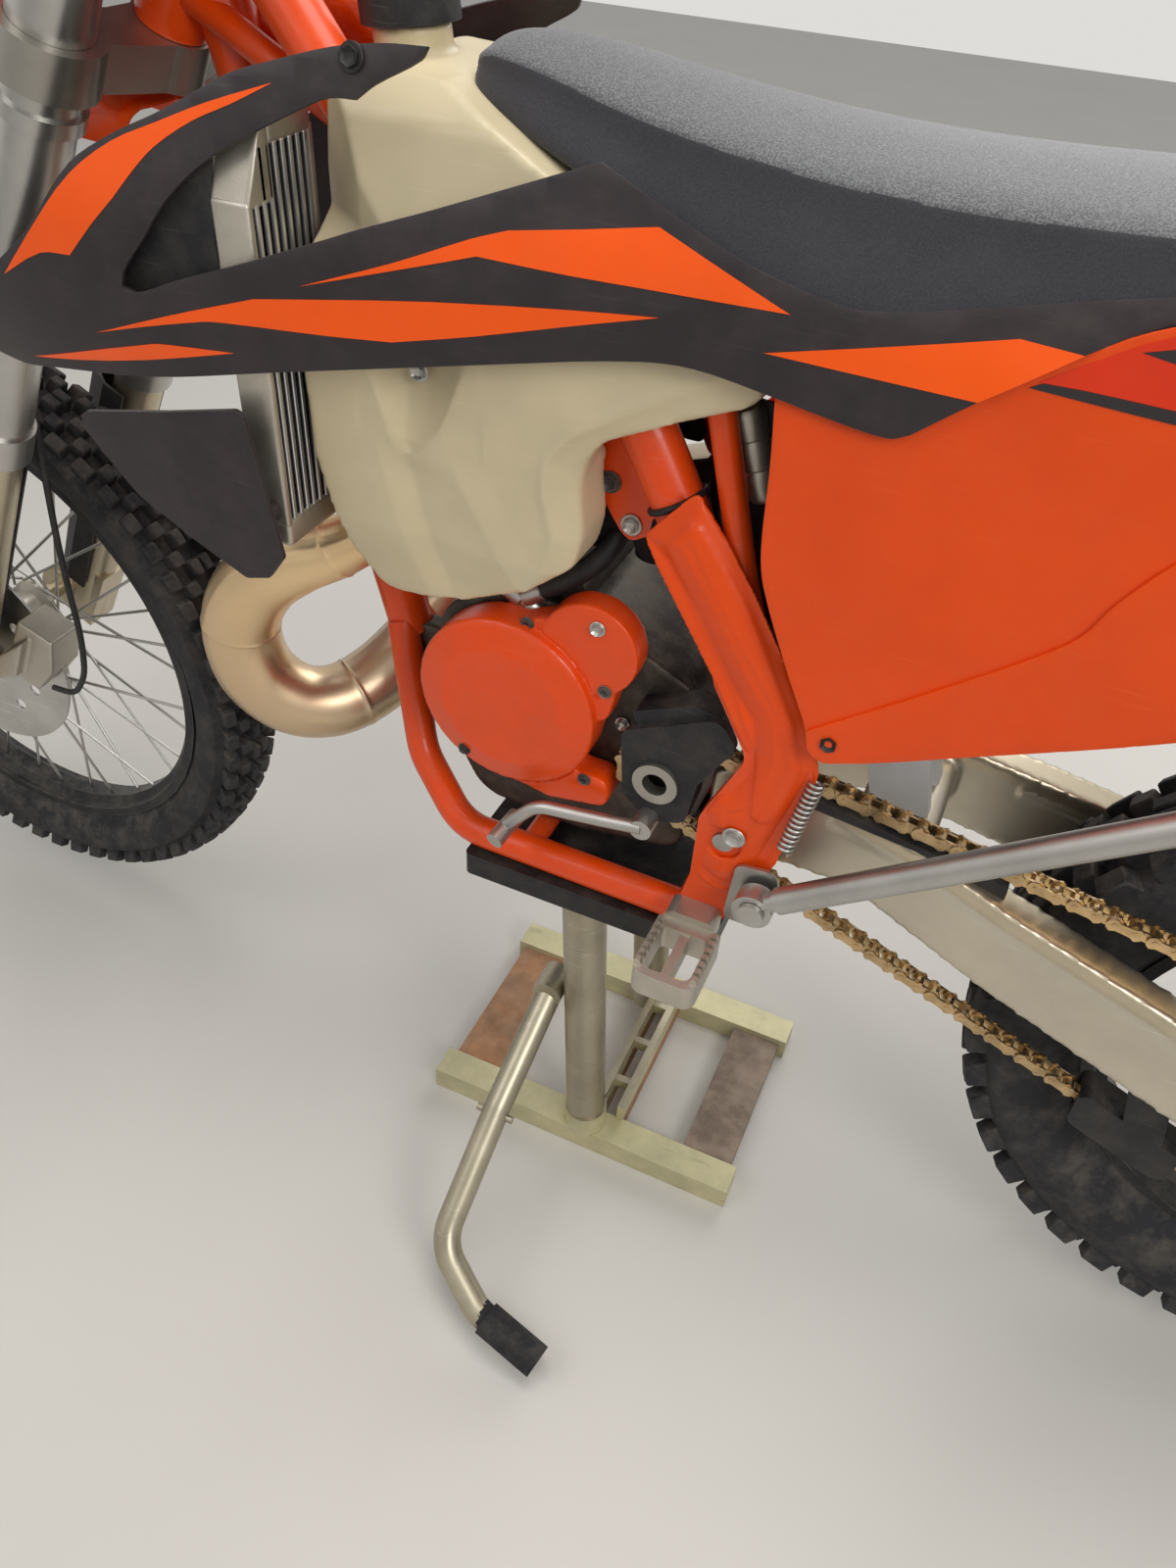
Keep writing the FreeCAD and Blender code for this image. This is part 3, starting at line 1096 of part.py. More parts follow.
# Fuel tank, saddled over the frame's tubes
SUB_R = 10.0
SUB_RAIL = [at(862, -70, 962), at(1040, -92, 962), at(1200, -96, 966), at(1392, -46, 1034)]
TANK_OUT = 118.0
TUNNEL_HALF = 62.0
tank_side = side_plate([(TANK_FRONT, 1000, 20), (553, 1045, 20), (582, 1066, 30), (640, 1062, 20), (690, 1042, 30),
                        (800, 990, 30), (884, 955, 10), (884, 920, 14), (834, 896, 20), (797, 874, 20),
                        (774, 798, 20), (762, 768, 16), (722, 736, 30), (662, 702, 24), (592, 690, 20),
                        (566, 730, 30), (TANK_FRONT, 810, 20)], -TANK_OUT, TANK_OUT)
tank_front = []
for y, z in ((-56, 1068), (-86, 1044), (-106, 975), (-TANK_OUT, 890), (-114, 760), (-96, 688), (-50, 680)):
    tank_front.append((y, z))
tank_ring = tank_front + [(-y, z) for y, z in reversed(tank_front)]
tank_wire = rounded_wire([(y, z, 26) for y, z in tank_ring], lambda a, b: at(530, a, b))
tank_block = Part.Face(tank_wire).extrude(FreeCAD.Vector(370, 0, 0))
tank = tank_side.common(tank_block)
tunnel_wire = rounded_wire([(-TUNNEL_HALF, 600, 0), (-TUNNEL_HALF, 985, 30), (TUNNEL_HALF, 985, 30),
                            (TUNNEL_HALF, 600, 0)], lambda a, b: at(530, a, b))
tank = tank.cut(Part.Face(tunnel_wire).extrude(FreeCAD.Vector(370, 0, 0)))
neck = Part.makeCylinder(27, 40, at(582, 0, 1040), FreeCAD.Vector(-0.1, 0, 1))
tank = join([tank, neck])
POCKET = [(600, 886), (676, 904), (674, 884), (661, 856), (646, 840), (627, 832), (612, 842), (603, 866)]
POCKET_DEEP = 12.0


def tank_pocket():
    # The hollow that holds the shroud's bolt. Its walls narrow towards its floor.
    mid_x = sum(p[0] for p in POCKET) / len(POCKET)
    mid_z = sum(p[1] for p in POCKET) / len(POCKET)
    sections = []
    for y, share in ((-TANK_OUT - 1, 1.0), (-TANK_OUT + POCKET_DEEP, 0.55)):
        sections.append([at(mid_x + share * (x - mid_x), y, mid_z + share * (z - mid_z)) for x, z in POCKET])
    return loft(sections)


tank = tank.cut(tank_pocket()).cut(mirrored(tank_pocket()))
TANK_ROOM = 4.0
for sign in (-1, 1):
    tank = tank.cut(tube(perimeter_path(sign), TUBE_R + TANK_ROOM, 90))
    tank = tank.cut(rod(on_steer(HEAD_START + 30, 8 * sign), at(602, 50 * sign, 1002), 11 + TANK_ROOM))
tank = tank.cut(tapered_pipe([(x, y, z, r + TANK_ROOM) for x, y, z, r in CHAMBER[:12]]))
rail_room = tube(SUB_RAIL, SUB_R + TANK_ROOM, 80)
tank = tank.cut(rail_room).cut(mirrored(rail_room))
stay_room = tube(STAY_PATH, 10 + TANK_ROOM, 60)
tank = tank.cut(stay_room).cut(mirrored(stay_room))
keep("fuel_tank", tank)
cap_foot = at(582, 0, 1040) + FreeCAD.Vector(-0.1, 0, 1).normalize() * 40.3
keep("fuel_cap", rod(cap_foot, cap_foot + FreeCAD.Vector(-0.1, 0, 1).normalize() * 22, 34))

# Radiator shrouds
SHROUD_T = 4.0


# rows: x, distance of the outer face from the bike's middle
SHROUD_PLAN = [(230, 146), (250, 150), (330, 162), (450, 162), (600, 146), (780, 128), (960, 128), (1110, 126),
               (1200, 126)]
# rows: height, how far the side leans in there
SHROUD_LEAN = [(800, 22.5), (890, 0.0), (985, 0.0), (1100, 34.5)]


def shroud_wall():
    # A wall of even thickness whose side leans in above and below its waist.
    sections = []
    for z, lean in SHROUD_LEAN:
        outer = [at(x, -y + lean, z) for x, y in SHROUD_PLAN]
        inner = [p + FreeCAD.Vector(0, SHROUD_T, 0) for p in reversed(outer)]
        sections.append(outer + inner)
    return loft(sections)


def shroud():
    outline = [(252, 842, 3), (256, 874, 14), (323, 926, 60), (405, 1000, 60), (473, 1036, 60), (550, 1071, 60),
               (627, 1088, 14), (654, 1089, 2), (650, 1081, 2), (610, 1057, 4), (592, 1056, 4), (585, 977, 4),
               (666, 1007, 60), (768, 1045, 6), (864, 1009, 60), (933, 995, 40), (1005, 1010, 60), (1180, 1046, 3),
               (1182, 1040, 3), (1097, 1018, 60), (1059, 996, 40), (1012, 961, 30), (980, 932, 6), (944, 930, 30),
               (895, 938, 60), (808, 941, 60), (637, 905, 60), (433, 859, 60), (300, 837, 20)]
    window = [(433, 925, 5), (460, 964, 40), (505, 1013, 40), (592, 1058, 2), (586, 976, 2), (525, 953, 40)]
    plate = side_plate(outline, -190, -80).cut(side_plate(window, -200, -70))
    return plate.common(shroud_wall())


keep("shrouds", both_sides(shroud()))


def spoiler():
    outline = [(345, 812, 12), (520, 856, 8), (540, 740, 6), (524, 718, 6), (501, 711, 8), (401, 757, 40)]
    plate = side_plate(outline, -162, -120)
    plan = top_plate([(330, -152, 0), (450, -161, 60), (560, -161, 0), (560, -157, 0), (450, -157, 60),
                      (330, -148, 0)], 690, 880)
    boss = across(524, 770, -158.5, RAD_Y[0] - RUNNING_GAP, 8)
    return join([plate.common(plan), boss])


keep("lower_spoilers", both_sides(spoiler()))

# Seat, side panels, airbox, rear fender and lamp
# rows: x, half width at top, half width at foot, top, foot
SEAT = [(640, 42, 50, 1078, 1046), (760, 70, 84, 1062, 1018), (900, 92, 108, 1050, 976), (1080, 100, 112, 1054, 978),
        (1260, 92, 100, 1072, 1004), (1340, 70, 76, 1086, 1050)]
seat_sections = []
for x, top_half, foot_half, top, foot in SEAT:
    half = [(foot_half, foot), (foot_half, foot + 0.35 * (top - foot)), (top_half, top - 8), (0.75 * top_half, top),
            (0.0, top + 3)]
    ring = half + [(-y, z) for y, z in reversed(half[:-1])]
    seat_sections.append([at(x, y, z) for y, z in ring])
seat = loft(seat_sections)
keep("seat", seat.cut(tank).cut(Part.makeBox(400, 300, 60, at(540, -150, 985))))


def side_panel():
    outline = [(900, 930, 10), (914, 780, 60), (966, 706, 20), (990, 691, 20), (1179, 794, 60), (1330, 880, 60),
               (1440, 968, 20), (1430, 1030, 20), (1180, 1052, 40), (1097, 1018, 10), (996, 944, 20), (968, 928, 10)]
    plate = side_plate(outline, -140, -90)
    outer = -(126.0 - SHROUD_T - RUNNING_GAP)
    plan = top_plate([(880, outer, 0), (1180, outer, 80), (1450, outer + 20, 0), (1450, outer + 24, 0),
                      (1180, outer + 4, 80), (880, outer + 4, 0)], 650, 1100)
    edge = [(958, 704, 6), (966, 690, 10), (990, 691, 20), (1179, 794, 60), (1330, 880, 60), (1440, 968, 20),
            (1436, 1000, 10), (1300, 948, 60), (1150, 886, 40), (1122, 842, 30), (1086, 800, 40), (1005, 733, 40)]
    proud = top_plate([(880, outer - ROLL, 0), (1180, outer - ROLL, 80), (1450, outer + 20 - ROLL, 0), (1450, outer + 22, 0),
                       (1180, outer + 2, 80), (880, outer + 2, 0)], 650, 1100)
    return join([plate.common(plan), side_plate(edge, -140, -90).common(proud)])


ROLL = 2.0
panel = side_panel()
sil_room = rod(SILENCER_A - sil_way * 80, SILENCER_B + sil_way * 100, 52)
chamber_room = rod(at(820, 172, 742), SILENCER_A + sil_way * 30, 40)
keep("side_panels", Part.makeCompound([panel, mirrored(panel).cut(sil_room).cut(chamber_room)]))
AIRBOX_HALF = 126.0 - 2 * SHROUD_T - 2 * RUNNING_GAP
airbox = side_plate([(915, 930, 20), (930, 790, 30), (985, 720, 20), (1050, 740, 30), (1130, 850, 40),
                     (1150, 960, 20), (915, 958, 10)], -AIRBOX_HALF, AIRBOX_HALF)
airbox = airbox.cut(side_plate([(930, 1000, 0), (1045, 1000, 0), (1060, 690, 0), (950, 690, 0)], -52, 52))
airbox = airbox.cut(chamber_room).cut(sil_room)
SUB_STAY = [at(962, -92, 690), at(1080, -94, 780), at(1240, -95, 950)]
for path, radius in ((SUB_RAIL, SUB_R), (SUB_STAY, SUB_R - 2)):
    room = tube(path, radius + RUNNING_GAP, 80)
    airbox = airbox.cut(room).cut(mirrored(room))
airbox = airbox.cut(frame_body)
keep("airbox", airbox)
INTAKE = [at(739.4, 0, 762), at(766, 0, 772), at(812, 0, 788), at(934, 0, 831)]
intake_way = (INTAKE[3] - INTAKE[2]).normalize()
reed_block = side_plate([(739.6, 742, 4), (770, 748, 6), (766, 800, 6), (736.4, 792, 4)], -30, 30)
body = rod(INTAKE[1] - intake_way * 8, INTAKE[2] + intake_way * 6, 26)
bowl = join([across(790, 752, -20, 20, 15), Part.makeCylinder(19, 52, at(790, 0, 734), FreeCAD.Vector(0, 0, 1))])
boot = [rod(INTAKE[2] + intake_way * 6, INTAKE[3], 30)]
for i in range(3):
    boot.append(rod(INTAKE[2] + intake_way * (24 + 22 * i), INTAKE[2] + intake_way * (32 + 22 * i), 34))
intake = join([reed_block, body, bowl] + boot)
airbox_front = side_plate([(915 - RUNNING_GAP, 930, 0), (930 - RUNNING_GAP, 790, 0), (985, 720, 0), (1020, 720, 0),
                           (1020, 930, 0)], -80, 80)
keep("intake", intake.cut(airbox_front).cut(cylinder))
REAR_FENDER = [(1346, 1050, 18, 96), (1480, 1064, 40, 90), (1640, 1082, 40, 82), (1780, 1094, 28, 70),
               (TAIL_REACH, 1096, 12, 50)]
keep("rear_fender", fender(REAR_FENDER, FENDER_T + 1))
rail_side = join([tube(SUB_RAIL, SUB_R, 80), tube(SUB_STAY, SUB_R - 2, 80)])
fender_rest = side_plate([(1366, 1020, 0), (1394, 1020, 0), (1394, 1050.6, 0), (1366, 1047.7, 0)], -44, 44)
keep("subframe", join([rail_side, mirrored(rail_side), fender_rest]))
tail = side_plate([(1770, 1087.5, 6), (1822, 1089.5, 6), (1818, 1050, 10), (1776, 1058, 10)], -33, 33)
keep("tail_lamp", tail)

# Rear brake caliper on the right arm
caliper = side_plate([(WHEELBASE - 120, 470, 10), (WHEELBASE - 70, 500, 12), (WHEELBASE - 40, 470, 12),
                      (WHEELBASE - 80, 430, 10), (WHEELBASE - 114, 430, 8)], 58, 93.6)
keep("rear_caliper", caliper.cut(across(WHEELBASE, REAR_AXLE_Z, REAR_DISC_Y - 3, REAR_DISC_Y + 3, REAR_DISC_R + 4)))

# Lift stand
RAIL_H = 30.0
RAIL_W = 36.0
STAND_X = (612.0, 980.0)
STAND_Y = (-100.0, 160.0)
PLATFORM_Z = CRADLE_Z - CRADLE_R - RUNNING_GAP
PLATFORM_T = 26.0


def lift_stand():
    # A welded base with wide boards across its ends, a leaning column and the padded platform.
    parts = []
    for y in (STAND_Y[0], STAND_Y[1] - RAIL_W):
        parts.append(Part.makeBox(STAND_X[1] - STAND_X[0], RAIL_W, RAIL_H, at(STAND_X[0], y, 0)))
    for x in (STAND_X[0] + 8, STAND_X[1] - 66):
        parts.append(Part.makeBox(58, STAND_Y[1] - STAND_Y[0] - 2 * RAIL_W + 2, 16,
                                  at(x, STAND_Y[0] + RAIL_W - 1, 6)))
    for x in (806, 832):
        parts.append(side_plate([(x, 8, 0), (x + 8, 8, 0), (x + 8, 54, 0), (x, 54, 0)], -66, 126))
    for y in (-30, 30, 90):
        parts.append(Part.makeBox(30, 8, 14, at(808, y, 36)))
    for y in (COLUMN_Y, -COLUMN_Y + 40):
        parts.append(rod(at(800, y, RAIL_H - 4), at(776, y * 0.94, PLATFORM_Z - PLATFORM_T + 4), COLUMN_R))
    parts.append(rod(at(800, COLUMN_Y, RAIL_H - 4), at(798, COLUMN_Y, RAIL_H + 26), COLUMN_R + 2))
    parts.append(top_plate([(662, -106, 6), (914, -106, 6), (914, 126, 6), (662, 126, 6)],
                           PLATFORM_Z - PLATFORM_T, PLATFORM_Z))
    return join(parts)


COLUMN_Y = -80.0
COLUMN_R = 22.0
keep("lift_stand", lift_stand())
LEVER_R = 14.0
LEVER_LINE = [at(747.8, -70, 240), at(742, -190, 165), at(738, -306, 76), at(796, -338, 42), at(866, -350, 26)]
lever_bar = tube(LEVER_LINE, LEVER_R, 50)
lever_eye = rod(at(747.8, -92, 240), at(747.8, -58, 240), 16)
sleeve_way = (LEVER_LINE[4] - LEVER_LINE[3]).normalize()
sleeve = rod(LEVER_LINE[4] - sleeve_way * 62, LEVER_LINE[4] + sleeve_way * 4, LEVER_R + 3)
lever_pins = [rod(at(742 + s * 20, -196, 160.4), at(742 + s * 8, -196, 160.4), 4) for s in (-1, 1)]
keep("lift_lever", join([lever_bar, lever_eye, sleeve] + lever_pins))

# Front brake hose, clipped all the way from the caliper to the right-hand lever
HOSE_R = 3.2


def hose(points):
    edges = []
    last = points[0]
    tightest = 1000.0
    for i in range(1, len(points) - 1):
        back = points[i - 1] - points[i]
        ahead = points[i + 1] - points[i]
        turn = math.pi - back.getAngle(ahead)
        cut = 0.45 * min(back.Length, ahead.Length)
        arc_r = cut / math.tan(turn / 2.0)
        tightest = min(tightest, arc_r)
        back.normalize()
        ahead.normalize()
        first = points[i] + back * cut
        second = points[i] + ahead * cut
        inward = back + ahead
        inward.normalize()
        middle = points[i] + inward * (math.hypot(cut, arc_r) - arc_r)
        edges.append(Part.makeLine(last, first))
        edges.append(Part.Arc(first, middle, second).toShape())
        last = second
    edges.append(Part.makeLine(last, points[-1]))
    spine = Part.Wire(edges)
    ring = Part.Wire([Part.makeCircle(HOSE_R, points[0], points[1] - points[0])])
    shape = spine.makePipeShell([ring], True, True)
    print("hose length %.0f tightest bend %.0f volume share %.3f" % (
        spine.Length, tightest, shape.Volume / (math.pi * HOSE_R ** 2 * spine.Length)))
    return shape


# rows: distance behind the fork's line, distance up it, y
HOSE_ON_FORK = [(95, 66, -83), (122, 82, -84), (128, 122, -84), (112, 172, -82), (84, 222, -79), (56, 274, -74),
                (30, 326, -68), (6, 380, -64), (-8, 438, -62), (-16, 500, -61.5), (-20, 562, -62), (-23, 624, -63),
                (-24, 690, -64), (-24.5, 756, -63), (-24, 820, -61), (-25, 880, -60), (-26, 938, -56)]
# rows: offset from the middle of the handlebar, with y as a share of the way to the reservoir
HOSE_AT_BAR = [(-40, -0.086, 34), (-40, 0.146, 44), (-32, 0.379, 50), (-22, 0.612, 52), (-10, 0.818, 50)]
hose_end = FreeCAD.Vector(RESERVOIR_END.x, -RESERVOIR_END.y, RESERVOIR_END.z)
hose_end = hose_end - FreeCAD.Vector(bar_way.x, -bar_way.y, bar_way.z) * RUNNING_GAP
hose_points = [FORK_FOOT + NORMAL * n + DIR * d + FreeCAD.Vector(0, y, 0) for n, d, y in HOSE_ON_FORK]
hose_points += [BAR_CENTRE + FreeCAD.Vector(x, share * hose_end.y, z) for x, share, z in HOSE_AT_BAR]
hose_points.append(hose_end)
keep("brake_hose", hose(hose_points))
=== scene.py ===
# %% [markdown]
# # An enduro dirt bike on a lift stand
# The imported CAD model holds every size, body and joint of the bike. This lesson dresses it:
# each part gets the finish of the real one, and forms that a CAD solid only roughs out,
# such as a moulded panel, a seat cover or a knobbly tyre, are modelled over it.
# Loading the model first gives one fixed frame, so that no piece has to be fitted by eye.

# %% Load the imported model
import json
import math

import bpy
from mathutils import Matrix, Vector


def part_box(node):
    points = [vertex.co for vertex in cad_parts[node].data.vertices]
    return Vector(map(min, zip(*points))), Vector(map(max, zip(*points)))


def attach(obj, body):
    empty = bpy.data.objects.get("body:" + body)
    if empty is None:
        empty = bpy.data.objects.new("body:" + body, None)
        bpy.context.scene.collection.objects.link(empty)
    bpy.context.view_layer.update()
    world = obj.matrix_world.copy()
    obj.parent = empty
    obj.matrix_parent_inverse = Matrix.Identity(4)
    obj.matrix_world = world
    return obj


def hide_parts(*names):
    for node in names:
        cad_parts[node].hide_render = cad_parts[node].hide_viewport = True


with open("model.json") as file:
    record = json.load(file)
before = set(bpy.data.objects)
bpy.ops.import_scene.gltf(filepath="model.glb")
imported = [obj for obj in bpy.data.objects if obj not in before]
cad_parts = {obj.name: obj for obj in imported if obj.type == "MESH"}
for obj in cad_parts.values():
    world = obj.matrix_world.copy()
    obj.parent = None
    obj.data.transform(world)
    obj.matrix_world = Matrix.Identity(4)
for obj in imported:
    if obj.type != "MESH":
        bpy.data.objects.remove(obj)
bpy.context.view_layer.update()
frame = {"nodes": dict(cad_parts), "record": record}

bpy.ops.object.select_all(action="DESELECT")

# %% [markdown]
# Sizes on the bike are easiest to give as millimetres behind the front axle, to the
# bike's right and above the floor. `place` turns them into a point of the frame, and `at`
# reads a point's place on the bike.
# The camera stands where the photographer stood: above the bike's left side, looking down.
# Its turn is written as the three directions of the picture: right, up and back.

# %% Points and the camera
X_MID = 0.7505


def place(x, y, z):
    return Vector((x / 1000 - X_MID, y / 1000, z / 1000))


def at(co):
    return (co.x + X_MID) * 1000, co.y * 1000, co.z * 1000


VIEW_RIGHT = Vector((0.9107, 0.4099, 0.0509)).normalized()
VIEW_BACK = Vector((0.2753, -0.6943, 0.6648))
VIEW_BACK = (VIEW_BACK - VIEW_RIGHT * VIEW_BACK.dot(VIEW_RIGHT)).normalized()
VIEW_UP = VIEW_BACK.cross(VIEW_RIGHT)
camera = bpy.data.objects.new("photo_camera", bpy.data.cameras.new("photo_camera"))
bpy.context.scene.collection.objects.link(camera)
camera.data.sensor_fit = "VERTICAL"
camera.data.sensor_height = 36.0
camera.data.lens = 27.14
turn = Matrix((VIEW_RIGHT, VIEW_UP, VIEW_BACK)).transposed().to_4x4()
camera.matrix_world = Matrix.Translation((0.3108, -0.8041, 1.2315)) @ turn
bpy.context.scene.camera = camera
bpy.context.scene.view_settings.view_transform = "Standard"
print("camera looks along", [round(v, 3) for v in -VIEW_BACK])

# %% [markdown]
# Every look in Blender is a tree of nodes: the world's, the floor's and each finish. A tree
# drawn by hand is hard to repeat, so a few short functions add the nodes that come back
# most often. `fed` fills a node's inputs with plain values or with links.

# %% Small functions for nodes


def fed(tree, node, sockets):
    """Give each input a plain value, or link another socket to it."""
    for key, value in sockets.items():
        if isinstance(value, bpy.types.NodeSocket):
            tree.links.new(value, node.inputs[key])
        else:
            node.inputs[key].default_value = value
    return node


def node_of(tree, kind, sockets=None, **settings):
    made = tree.nodes.new(kind)
    for key, value in settings.items():
        setattr(made, key, value)
    return fed(tree, made, sockets or {})


def math_of(tree, operation, *values, clamp=False):
    return node_of(tree, "ShaderNodeMath", dict(enumerate(values)), operation=operation,
                   use_clamp=clamp).outputs[0]


def range_of(tree, value, start, end, low=0.0, high=1.0):
    """A value mapped from start..end to low..high."""
    return node_of(tree, "ShaderNodeMapRange", {
        "Value": value, "From Min": start, "From Max": end, "To Min": low, "To Max": high}).outputs[0]


def noise_of(tree, scale, detail, roughness=0.5, vector=None):
    """Noise over Object coordinates, or over another vector."""
    if vector is None:
        vector = node_of(tree, "ShaderNodeTexCoord").outputs["Object"]
    return node_of(tree, "ShaderNodeTexNoise", {
        "Vector": vector, "Scale": scale, "Detail": detail, "Roughness": roughness}).outputs["Fac"]


def mix_of(tree, factor, first, second):
    return node_of(tree, "ShaderNodeMix", {0: factor, 6: first, 7: second}, data_type="RGBA").outputs[2]


def new_material(name):
    """A material, its node tree and its main shader."""
    material = bpy.data.materials.new(name)
    material.use_nodes = True
    return material, material.node_tree, material.node_tree.nodes["Principled BSDF"]


def rgb(red, green, blue):
    """A screen colour, 0 to 255, as the linear colour that a shader takes."""
    return tuple((v / 255 / 12.92) if v < 11 else ((v / 255 + 0.055) / 1.055) ** 2.4
                 for v in (red, green, blue)) + (1.0,)


# %% [markdown]
# The room's light is soft daylight. A pale world gives the fill and the reflections, and
# four large lamps give the shadows their direction. The floor is one pale sheet with a
# faint mottle, so that the tyres and the stand throw a soft shadow on it.

# %% World, lamps and floor
world = bpy.data.worlds.new("daylight")
bpy.context.scene.world = world
world.use_nodes = True
sky = world.node_tree
sky.nodes.clear()
path = node_of(sky, "ShaderNodeLightPath")
seen = math_of(sky, "MAXIMUM", path.outputs["Is Camera Ray"], path.outputs["Is Glossy Ray"])
fill = node_of(sky, "ShaderNodeBackground", {"Color": rgb(236, 240, 246), "Strength": 0.46})
back = node_of(sky, "ShaderNodeBackground", {"Color": rgb(233, 231, 227), "Strength": 0.9})
either = node_of(sky, "ShaderNodeMixShader", {0: seen, 1: fill.outputs[0], 2: back.outputs[0]})
node_of(sky, "ShaderNodeOutputWorld", {"Surface": either.outputs[0]})

# name, place, aim, watts, width
LAMPS = [
    ("window", (2.1, -1.7, 2.4), (0.0, 0.0, 0.6), 36.0, 1.2),
    ("near_window", (-1.8, -1.9, 3.2), (0.0, 0.0, 0.6), 21.0, 1.9),
    ("ceiling", (0.2, 0.2, 3.6), (0.1, 0.0, 0.7), 54.0, 1.8),
    ("far_window", (0.4, 3.2, 2.4), (0.0, 0.0, 0.6), 34.0, 2.0),
]
for name, spot, aim, watts, width in LAMPS:
    lamp = bpy.data.objects.new(name, bpy.data.lights.new(name, "AREA"))
    bpy.context.scene.collection.objects.link(lamp)
    lamp.data.energy = watts
    lamp.data.size = width
    lamp.location = spot
    lamp.rotation_euler = (Vector(aim) - Vector(spot)).to_track_quat("-Z", "Y").to_euler()

bpy.ops.mesh.primitive_plane_add(size=14.0, location=(0, 0, -0.0005))
floor = bpy.context.object
floor.name = "floor"
floor_finish, tree, shader = new_material("pale_floor")
mottled = mix_of(tree, noise_of(tree, 3.0, 6.0), rgb(203, 198, 189), rgb(212, 207, 198))
fed(tree, shader, {"Base Color": mottled, "Roughness": 0.6})
floor.data.materials.append(floor_finish)
print("lamps", len(LAMPS))

# %% [markdown]
# Three effects come back in many finishes, so each is a node group. Grain gives the fine
# bump of a moulding or a casting. Wear lightens corners and draws fine scratches: the
# Bevel node rounds the normal near an edge, and where it leans away there is a corner.
# Dust settles on faces that look up. Every pattern reads Object coordinates, so a part
# carries its pattern with it when it moves.

# %% Shared node groups
COLOUR, NUMBER = "NodeSocketColor", "NodeSocketFloat"
GREY = (0.5, 0.5, 0.5, 1)


def shader_group(name, inputs, outputs):
    """A node group without content, and the sockets that bring its inputs in."""
    group = bpy.data.node_groups.new(name, "ShaderNodeTree")
    for title, kind, value in inputs:
        socket = group.interface.new_socket(name=title, in_out="INPUT", socket_type=kind)
        socket.default_value = value
    for title, kind in outputs:
        group.interface.new_socket(name=title, in_out="OUTPUT", socket_type=kind)
    return group, node_of(group, "NodeGroupInput").outputs


grain_group, given = shader_group(
    "grain", [("Scale", NUMBER, 600.0), ("Softness", NUMBER, 0.5)], [("Height", NUMBER)])
height = noise_of(grain_group, given["Scale"], 2.0, given["Softness"])
node_of(grain_group, "NodeGroupOutput", {"Height": height})

mottle_group, given = shader_group(
    "mottle", [("Colour", COLOUR, GREY), ("Scale", NUMBER, 12.0), ("Amount", NUMBER, 0.15)],
    [("Colour", COLOUR), ("Value", NUMBER)])
cloud = noise_of(mottle_group, given["Scale"], 5.0, 0.6)
centred = range_of(mottle_group, cloud, 0.3, 0.7, -1.0)
swing = math_of(mottle_group, "MULTIPLY_ADD", centred, given["Amount"], 1.0)
shaded = node_of(mottle_group, "ShaderNodeHueSaturation", {"Color": given["Colour"], "Value": swing})
node_of(mottle_group, "NodeGroupOutput", {"Colour": shaded.outputs[0], "Value": cloud})

# On the engine's finish this lightening of corners is partly painted highlight as well as wear.
wear_group, given = shader_group(
    "wear", [("Colour", COLOUR, GREY), ("Worn Colour", COLOUR, (0.8, 0.8, 0.8, 1)),
             ("Amount", NUMBER, 0.5), ("Width", NUMBER, 0.002), ("Scratches", NUMBER, 0.2)],
    [("Colour", COLOUR)])
rounded = node_of(wear_group, "ShaderNodeBevel", {"Radius": given["Width"]}, samples=4)
geometry = node_of(wear_group, "ShaderNodeNewGeometry")
lean = node_of(wear_group, "ShaderNodeVectorMath",
               {0: rounded.outputs[0], 1: geometry.outputs["Normal"]}, operation="DOT_PRODUCT")
corner = range_of(wear_group, lean.outputs["Value"], 0.99, 0.8)
patchy = range_of(wear_group, noise_of(wear_group, 45.0, 6.0), 0.4, 0.62)
edges = math_of(wear_group, "MULTIPLY", corner, patchy)
edges = math_of(wear_group, "MULTIPLY", edges, given["Amount"])
where = node_of(wear_group, "ShaderNodeTexCoord")
drawn_out = node_of(wear_group, "ShaderNodeMapping", {
    "Vector": where.outputs["Object"], "Rotation": (0.3, 0.7, 0.2), "Scale": (18.0, 90.0, 420.0)})
hair = noise_of(wear_group, 1.0, 3.0, vector=drawn_out.outputs[0])
scratch = math_of(wear_group, "MULTIPLY", range_of(wear_group, hair, 0.64, 0.72), given["Scratches"])
mask = math_of(wear_group, "MAXIMUM", edges, scratch, clamp=True)
node_of(wear_group, "NodeGroupOutput", {
    "Colour": mix_of(wear_group, mask, given["Colour"], given["Worn Colour"])})

dust_group, given = shader_group(
    "dust", [("Colour", COLOUR, GREY), ("Amount", NUMBER, 0.3), ("Scale", NUMBER, 30.0)],
    [("Colour", COLOUR), ("Mask", NUMBER)])
where = node_of(dust_group, "ShaderNodeTexCoord")
upward = node_of(dust_group, "ShaderNodeSeparateXYZ", {0: where.outputs["Normal"]})
lying = range_of(dust_group, upward.outputs["Z"], -0.4, 1.0, 0.15)
drifts = range_of(dust_group, noise_of(dust_group, given["Scale"], 8.0, 0.7), 0.42, 0.68)
settled = math_of(dust_group, "MULTIPLY", lying, drifts)
mask = math_of(dust_group, "MULTIPLY", settled, given["Amount"], clamp=True)
node_of(dust_group, "NodeGroupOutput", {
    "Colour": mix_of(dust_group, mask, given["Colour"], rgb(168, 156, 138)), "Mask": mask})
print("node groups", [g.name for g in bpy.data.node_groups])

# %% [markdown]
# Most finishes are one recipe with other numbers: a base colour that drifts a little, a
# grain for the bump, some wear and some dust. A table of them reads like a paint shop's
# list. Roughness rises where dust lies, and worn metal shines through worn paint.

# %% The finishes


